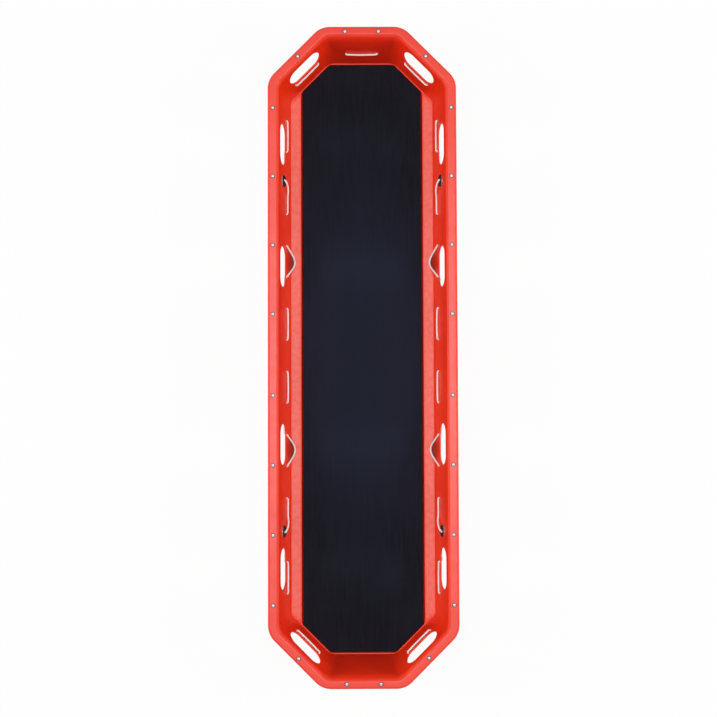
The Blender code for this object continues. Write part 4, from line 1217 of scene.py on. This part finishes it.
def in_sleeve(x_sign):
    """One end of the cord, in the sleeve outside the foot wall, and its way out of it."""
    height = CORD_LEVEL + x_sign * (CORD_RADIUS + SLEEVE_GAP)
    half = SLEEVE_LENGTH / 2 + CORD_RADIUS
    foot_end = (x_sign, -1)
    stations = [(-half, height), (-half / 2, height), (0.0, height), (half / 2, height), (half, height)]
    points = [wall_point("end", foot_end, along, level, sleeve_out) for along, level in stations]
    return points + [wall_point("end", foot_end, 2.2 * half, CORD_LEVEL, sleeve_out)]


half_route = in_sleeve(1) + foot_corner + side_stretch() + corner_stretch + head_hole
right_way = foot_corner + side_stretch() + corner_stretch + head_hole
other_half = in_sleeve(-1) + [Vector((-x, y, z)) for x, y, z in right_way]
over_head = snug(half_route[-1], other_half[-1], Vector((0, -1, 0)))
route = half_route + over_head + list(reversed(other_half))


def smooth_route(points, steps):
    """Centripetal spline through the points, which neither cuts corners nor overshoots."""
    ends = [points[0] * 2 - points[1]] + points + [points[-1] * 2 - points[-2]]
    curve = []
    for a, b, c, d in zip(ends, ends[1:], ends[2:], ends[3:]):
        knots = [0.0]
        for here, after in ((a, b), (b, c), (c, d)):
            knots.append(knots[-1] + max(math.dist(here, after), 1e-6) ** 0.5)
        t1, t2, t3 = knots[1:]
        for step in range(steps):
            t = t1 + (t2 - t1) * step / steps
            first = a * ((t1 - t) / t1) + b * (t / t1)
            second = b * ((t2 - t) / (t2 - t1)) + c * ((t - t1) / (t2 - t1))
            third = c * ((t3 - t) / (t3 - t2)) + d * ((t - t2) / (t3 - t2))
            left = first * ((t2 - t) / t2) + second * (t / t2)
            right = second * ((t3 - t) / (t3 - t1)) + third * ((t - t1) / (t3 - t1))
            curve.append(left * ((t2 - t) / (t2 - t1)) + right * ((t - t1) / (t2 - t1)))
    return curve + [points[-1]]


cord_path = smooth_route(route, 3)
# Each cut end is melted to a round tip: how far past the end, and the share of the cord's thickness there
tip = [(0.0028, 0.15), (0.0024, 0.55), (0.0015, 0.85)]
head_way = (cord_path[0] - cord_path[1]).normalized()
tail_way = (cord_path[-1] - cord_path[-2]).normalized()
first_tip = [cord_path[0] + head_way * reach for reach, size in tip]
last_tip = [cord_path[-1] + tail_way * reach for reach, size in reversed(tip)]
sizes = [size for reach, size in tip]
cord_points = first_tip + cord_path + last_tip
cord_sizes = sizes + [1.0] * len(cord_path) + list(reversed(sizes))

# A 16-strand braid: eight diamonds round the cord, 2.4 mm each way, with painted shade in the grooves between
# strands
braid, tree, shader, space = new_material("braided_polyester")
around_cord = add_node(tree, "ShaderNodeUVMap", {}, uv_map="UVMap")
lattice = add_node(tree, "ShaderNodeMapping", {"Vector": around_cord, "Scale": (1 / 0.0048, 8.0, 1.0)})
split = add_node(tree, "ShaderNodeSeparateXYZ", {0: lattice})
left_hand = add_node(tree, "ShaderNodeMath", {0: split, 1: split.outputs[1]}, operation="ADD")
right_hand = add_node(tree, "ShaderNodeMath", {0: split, 1: split.outputs[1]}, operation="SUBTRACT")
crossed = add_node(tree, "ShaderNodeCombineXYZ", {0: left_hand, 1: right_hand, 2: 0.5})
over = add_node(tree, "ShaderNodeTexChecker", {"Vector": crossed, "Scale": 1.0}).outputs[1]
crowns = []
for hand in (left_hand, right_hand):
    inside = add_node(tree, "ShaderNodeMath", {0: hand}, operation="FRACT")
    rest = add_node(tree, "ShaderNodeMath", {0: 1.0, 1: inside}, operation="SUBTRACT")
    crown = add_node(tree, "ShaderNodeMath", {0: inside, 1: rest}, operation="MULTIPLY")
    crowns.append(add_node(tree, "ShaderNodeMath", {0: crown, 1: 4.0}, operation="MULTIPLY"))
strand = add_node(tree, "ShaderNodeMix", {0: over, 2: crowns[0], 3: crowns[1]}, data_type="FLOAT")
shade = add_node(tree, "ShaderNodeMapRange", {0: strand, 1: 0.0, 2: 0.6})
fibre_colour = add_node(tree, "ShaderNodeMix", {0: shade, 6: paint("#F1E8E1"), 7: paint("#FFFEFC")},
                        data_type="RGBA").outputs[2]
grime_and_painted_shade = add_node(tree, "ShaderNodeTexNoise", {"Vector": space, "Scale": 24.0, "Detail": 4.0})
grimy = add_node(tree, "ShaderNodeMapRange", {0: grime_and_painted_shade, 1: 0.55, 2: 0.85, 4: 0.30})
handled = add_node(tree, "ShaderNodeMix", {0: grimy, 6: fibre_colour, 7: paint("#C9BDB0")},
                   data_type="RGBA").outputs[2]
# Yarns are 0.2 mm apart and run along the strands
yarn = add_node(tree, "ShaderNodeTexNoise", {"Vector": crossed, "Scale": 6.0, "Detail": 2.0})
fine = add_node(tree, "ShaderNodeBump", {"Strength": 0.2, "Distance": 0.0001, "Height": yarn})
woven = add_node(tree, "ShaderNodeBump", {"Strength": 0.5, "Distance": 0.0004, "Height": strand,
                                          "Normal": fine})
set_sockets(tree, shader, {
    "Base Color": handled, "Normal": woven, "Roughness": 0.70, "Sheen Weight": 0.6, "Sheen Roughness": 0.35,
})

cord = swept("laced_cord", cord_points, CORD_RADIUS, CORD_SIDES, braid, cord_sizes)
smooth(cord, 70)
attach(cord, "basket")
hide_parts("lacing_cord")


# Crimped sleeve
# The cord's two ends pass each other in an oval aluminium ferrule outside the foot wall. A crimping
# tool has pressed two bands across it, and its mouths are belled so that they don't cut the cord.

SLEEVE_OPENING = CORD_RADIUS + SLEEVE_GAP
SLEEVE_DENT = 0.0006
CRIMP_PLACE = 0.42
CRIMP_SPREAD = 0.13
BELL_START = 0.93
sleeve_shape = bmesh.new()
sleeve_rings = []
for side in (1, -1):
    for part in np.linspace(-1, 1, 41):
        press = math.exp(-((abs(part) - CRIMP_PLACE) / CRIMP_SPREAD) ** 2)
        bell = max(0.0, (abs(part) - BELL_START) / (1 - BELL_START)) ** 2
        if side > 0:
            half_height = SLEEVE_OPENING + SLEEVE_WALL - SLEEVE_DENT * press - 0.0004 * bell
        else:
            half_height = SLEEVE_OPENING - 0.35 * SLEEVE_DENT * press + 0.0003 * bell
        outline = stadium(2 * SLEEVE_OPENING, half_height, 11)
        along = side * part * SLEEVE_LENGTH / 2
        ring = [wall_point("end", (1, -1), along, CORD_LEVEL + up, sleeve_out + deep) for up, deep in outline]
        sleeve_rings.append([sleeve_shape.verts.new(point) for point in ring])
for low, high in zip(sleeve_rings, sleeve_rings[1:] + sleeve_rings[:1]):
    add_skin(sleeve_shape, low, high)

# Soft aluminium, squeezed bright in the crimps and dull elsewhere
soft_aluminium, tree, shader, space = new_material("crimped_aluminium")
smear = add_node(tree, "ShaderNodeMapping", {"Vector": space, "Scale": (900.0, 120.0, 120.0)})
smeared = add_node(tree, "ShaderNodeTexNoise", {"Vector": smear, "Scale": 1.0, "Detail": 4.0})
tone = add_node(tree, "ShaderNodeMix", {0: smeared, 6: paint("#BDBFC1"), 7: paint("#EAEBEB")},
                data_type="RGBA").outputs[2]
dull = add_node(tree, "ShaderNodeMapRange", {0: smeared, 1: 0.3, 2: 0.7, 3: 0.22, 4: 0.42})
relief = add_node(tree, "ShaderNodeBump", {"Strength": 0.3, "Distance": 0.0001, "Height": smeared})
set_sockets(tree, shader, {"Base Color": tone, "Roughness": dull, "Normal": relief, "Metallic": 1.0})

sleeve = from_shape("crimped_sleeve", sleeve_shape)
sleeve.data.materials.append(soft_aluminium)
smooth(sleeve, 50)
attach(sleeve, "basket")
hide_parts("cord_sleeve")


# Foam mat
# A loose sheet of closed-cell foam, 12 mm thick, die-cut to the floor's outline. Its skin is embossed
# with a fine grain, its top edge is slightly crushed, and loop strips are glued in pockets below.

MAT_THICKNESS = 0.012
MAT_CLEARANCE = 0.003
MAT_EDGE = 0.0022
MAT_BOTTOM = FLOOR_TOP + 0.0003
MAT_CRUSH = 0.00035
MAT_ROWS = 150
MAT_COLUMNS = 36
POCKET_GAP = 0.0003
STRIP_LENGTH = 0.100
STRIP_WIDTH = 0.050
STRIP_THICKNESS = 0.0012
STRIP_ACROSS = 0.0625
STRIP_ALONG = 0.800
STRIP_PLACES = [(x * STRIP_ACROSS, y * STRIP_ALONG) for x, y in QUARTERS]

mat_reach = {kind: REACH[kind] - RIM_WIDTH - RUN[kind] - MAT_CLEARANCE for kind in REACH}
mat_corner = mat_reach["corner"] * DIAGONAL
chamfer_start = mat_corner - mat_reach["side"]
rows = list(np.linspace(0, chamfer_start, MAT_ROWS // 2))
rows += list(np.linspace(chamfer_start, mat_reach["end"], 9)[1:])
rows = [-along for along in reversed(rows[1:])] + rows


def mat_wave(x, y):
    """Height of the mat's gentle unevenness, in metres, from waves of a hand's breadth and more."""
    long_wave = math.sin(y * 11.0 + 0.8) * math.cos(x * 9.0 - y * 3.0)
    short_wave = math.sin(y * 27.0 - x * 14.0) * math.cos(y * 7.0 + 1.9)
    return 0.00022 * long_wave + 0.00010 * short_wave


mat_shape = bmesh.new()
top_rows = []
bottom_rows = []
for along in rows:
    half_width = min(mat_reach["side"], mat_corner - abs(along))
    line = [(half_width * part, along) for part in np.linspace(-1, 1, MAT_COLUMNS + 1)]
    lift = MAT_THICKNESS - MAT_CRUSH
    top_rows.append([mat_shape.verts.new((x, y, MAT_BOTTOM + lift + mat_wave(x, y))) for x, y in line])
    bottom_rows.append([mat_shape.verts.new((x, y, MAT_BOTTOM)) for x, y in line])
for rows_of, turn in ((top_rows, 1), (bottom_rows, -1)):
    for near, far in zip(rows_of, rows_of[1:]):
        for here in range(MAT_COLUMNS):
            quad = (near[here], near[here + 1], far[here + 1], far[here])
            mat_shape.faces.new(quad[::turn])


def border(rows_of):
    """The corners round the edge of a grid of rows."""
    right = [row[-1] for row in rows_of]
    left = [row[0] for row in reversed(rows_of[:-1])]
    return right + list(reversed(rows_of[-1][:-1])) + left + rows_of[0][1:-1]


add_skin(mat_shape, border(bottom_rows), border(top_rows))

# Closed-cell foam: near black with a cast of blue, embossed, streaky along the roll, and without shine
foam, tree, shader, space = new_material("closed_cell_foam")
rolled = add_node(tree, "ShaderNodeMapping", {"Vector": space, "Scale": (150.0, 9.0, 150.0)})
streaks = add_node(tree, "ShaderNodeTexNoise", {"Vector": rolled, "Scale": 1.0, "Detail": 4.0})
patches = add_node(tree, "ShaderNodeTexNoise", {
    "Vector": space, "Scale": 5.0, "Detail": 5.0, "Roughness": 0.6,
})
streaky = add_node(tree, "ShaderNodeMapRange", {0: streaks, 1: 0.35, 2: 0.70})
tone = add_node(tree, "ShaderNodeMix", {0: streaky, 6: paint("#191B22"), 7: paint("#1F222B")},
                data_type="RGBA").outputs[2]
patchy = add_node(tree, "ShaderNodeMapRange", {0: patches, 1: 0.40, 2: 0.70})
aged = add_node(tree, "ShaderNodeMix", {0: patchy, 6: tone, 7: paint("#20232D")}, data_type="RGBA").outputs[2]
# A painted pool of light makes the middle of the mat paler and bluer, and fades where the walls shade its
# ends and edges
spread = add_node(tree, "ShaderNodeMapping", {"Vector": space, "Scale": (3.0, 1.15, 0.0)})
from_middle = add_node(tree, "ShaderNodeVectorMath", {0: spread}, operation="LENGTH").outputs["Value"]
dust_and_light_share = add_node(tree, "ShaderNodeMapRange", {0: from_middle, 1: 0.95, 2: 0.25, 4: 0.75},
                 interpolation_type="SMOOTHSTEP")
lit_middle = add_node(tree, "ShaderNodeMix", {0: dust_and_light_share, 6: aged, 7: paint("#292F40")},
                  data_type="RGBA").outputs[2]
# The embossing roll leaves cells about 1.6 mm across
cells = add_node(tree, "ShaderNodeTexVoronoi", {"Vector": space, "Scale": 620.0}, feature="SMOOTH_F1")
streak_relief = add_node(tree, "ShaderNodeBump", {"Strength": 0.25, "Distance": 0.0004, "Height": streaks})
relief = add_node(tree, "ShaderNodeBump", {"Strength": 0.5, "Distance": 0.0004, "Height": cells,
                                           "Normal": streak_relief})
set_sockets(tree, shader, {
    "Base Color": lit_middle, "Normal": relief, "Roughness": 0.85, "Specular IOR Level": 0.06,
})

pockets = bmesh.new()
pocket_depth = 2 * (STRIP_THICKNESS + POCKET_GAP)
half_width, half_length = STRIP_WIDTH / 2 + POCKET_GAP, STRIP_LENGTH / 2 + POCKET_GAP
for x, y in STRIP_PLACES:
    outline = [(x + a * half_width, y + b * half_length) for a, b in CORNERS]
    add_rings(pockets, [[(a, b, MAT_BOTTOM + z) for a, b in outline] for z in (-0.003, pocket_depth)])
mat = from_shape("foam_mat", mat_shape)
mat.data.materials.append(foam)
crushed = mat.modifiers.new("crushed_edge", "BEVEL")
crushed.limit_method = "ANGLE"
crushed.angle_limit = math.radians(60)
crushed.width = MAT_EDGE
crushed.segments = 4
pocket_cutter = boolean(mat, from_shape("mat_pockets", pockets), "DIFFERENCE")
bake(mat)
bpy.data.objects.remove(pocket_cutter)
smooth(mat, 50)
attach(mat, "mat")
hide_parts("mat")


# Hook and loop strips
# Woven nylon tape, 50 mm wide. The hook half is glued to the basket's floor and the loop half to the
# mat, so that the mat peels off. Short stiff hooks face a fluffy pile of loops.

TAPE_THICKNESS = 0.0005
TAPE_CORNER = 0.002
PILE_PITCH = 0.0025
PILE_BORDER = 0.003

# Dyed nylon: black, woven in ribs 1 mm apart, with a soft bloom of fibre
nylon, tree, shader, space = new_material("woven_nylon_tape")
ribs = add_node(tree, "ShaderNodeTexWave", {"Vector": space, "Scale": 160.0, "Distortion": 1.5},
                wave_type="BANDS", bands_direction="X")
lint = add_node(tree, "ShaderNodeTexNoise", {"Vector": space, "Scale": 600.0, "Detail": 4.0})
tone = add_node(tree, "ShaderNodeMix", {0: lint, 6: paint("#151517"), 7: paint("#2C2C30")},
                data_type="RGBA").outputs[2]
relief = add_node(tree, "ShaderNodeBump", {"Strength": 0.5, "Distance": 0.0002, "Height": ribs.outputs[1]})
set_sockets(tree, shader, {
    "Base Color": tone, "Normal": relief, "Roughness": 0.8, "Sheen Weight": 0.3, "Sheen Roughness": 0.4,
})

# Bent bristles stand on the tape in rows. Their bend and turn vary from one to the next.
pile, given = new_tree("tape_pile", {
    "Tape": "Object", "Pitch": "Float", "Length": "Float", "Width": "Float", "Tall": "Float", "Thin": "Float",
    "Level": "Float", "Facing": "Float", "Bend": "Float", "Seed": "Int", "Finish": "Material",
})
tape_solid = add_node(pile, "GeometryNodeObjectInfo", {"Object": given["Tape"]}).outputs["Geometry"]
count_across = add_node(pile, "ShaderNodeMath", {0: given["Width"], 1: given["Pitch"]}, operation="DIVIDE")
count_along = add_node(pile, "ShaderNodeMath", {0: given["Length"], 1: given["Pitch"]}, operation="DIVIDE")
stubble = add_node(pile, "GeometryNodeMeshGrid", {
    "Size X": given["Width"], "Size Y": given["Length"],
    "Vertices X": count_across, "Vertices Y": count_along,
})
low = add_node(pile, "ShaderNodeCombineXYZ", {"Z": given["Level"]})
seated = add_node(pile, "GeometryNodeSetPosition", {"Geometry": stubble, "Offset": low})
half_tall = add_node(pile, "ShaderNodeMath", {0: given["Tall"], 1: 0.5}, operation="MULTIPLY")
tall = add_node(pile, "ShaderNodeMath", {0: given["Tall"], 1: given["Facing"]}, operation="MULTIPLY")
top = add_node(pile, "ShaderNodeMath", {0: half_tall, 1: given["Facing"]}, operation="MULTIPLY")
start = add_node(pile, "ShaderNodeCombineXYZ", {"Z": 0.0})
peak = add_node(pile, "ShaderNodeCombineXYZ", {"X": given["Bend"], "Z": tall})
end = add_node(pile, "ShaderNodeCombineXYZ", {"X": given["Bend"], "Z": top})
bristle = add_node(pile, "GeometryNodeCurvePrimitiveBezierSegment", {
    "Resolution": 5, "Start": start, "Start Handle": peak, "End Handle": peak, "End": end,
})
wire = add_node(pile, "GeometryNodeCurvePrimitiveCircle", {"Resolution": 4, "Radius": given["Thin"]})
hair = add_node(pile, "GeometryNodeCurveToMesh", {
    "Curve": bristle, "Profile Curve": wire, "Fill Caps": True,
})
spin = add_node(pile, "FunctionNodeRandomValue", {2: 0.0, 3: math.tau, "Seed": given["Seed"]},
                data_type="FLOAT")
spun = add_node(pile, "ShaderNodeCombineXYZ", {"Z": spin.outputs[1]})
rotation = add_node(pile, "FunctionNodeEulerToRotation", {0: spun})
bristles = add_node(pile, "GeometryNodeInstanceOnPoints", {
    "Points": seated, "Instance": hair, "Rotation": rotation,
})
together = add_node(pile, "GeometryNodeJoinGeometry", {})
pile.links.new(tape_solid, together.inputs[0])
pile.links.new(bristles.outputs[0], together.inputs[0])
end_tree(pile, together, given["Finish"])

loop_tape_low = MAT_BOTTOM + 2 * STRIP_THICKNESS + POCKET_GAP - TAPE_THICKNESS
# Each half's body, the tape's underside, the way its pile faces, and its bristles' height, bend and radius
TAPES = {
    "hook": ("basket", MAT_BOTTOM, 1, 0.00065, 0.0006, 0.00010),
    "loop": ("mat", loop_tape_low, -1, 0.00060, 0.0009, 0.00007),
}
for kind, (body, tape_low, facing, tall, bend, thin) in TAPES.items():
    for number, (x, y) in enumerate(STRIP_PLACES, 1):
        slab = bmesh.new()
        outline = [(a * STRIP_WIDTH / 2, b * STRIP_LENGTH / 2) for a, b in CORNERS]
        add_rings(slab, [[(a, b, tape_low + z) for a, b in outline] for z in (0.0, TAPE_THICKNESS)])
        upright = [edge for edge in slab.edges if edge.verts[0].co.z != edge.verts[1].co.z]
        bmesh.ops.bevel(slab, geom=upright, offset=TAPE_CORNER, segments=4, affect="EDGES")
        tape = from_shape("tape", slab)
        strip = run_tree(f"{kind}_tape_{number}", pile, {
            "Tape": tape, "Pitch": PILE_PITCH, "Length": STRIP_LENGTH - 2 * PILE_BORDER,
            "Width": STRIP_WIDTH - 2 * PILE_BORDER, "Tall": tall, "Thin": thin,
            "Level": tape_low + max(facing, 0) * TAPE_THICKNESS, "Facing": float(facing), "Bend": bend,
            "Seed": 11 * number, "Finish": nylon,
        }, helpers=(tape,))
        strip.data.transform(Matrix.Translation((x, y, 0.0)))
        strip.data.shade_smooth()
        strip.data.set_sharp_from_angle(angle=math.radians(40))
        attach(strip, body)
        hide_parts(f"{kind}_strip_{number}")
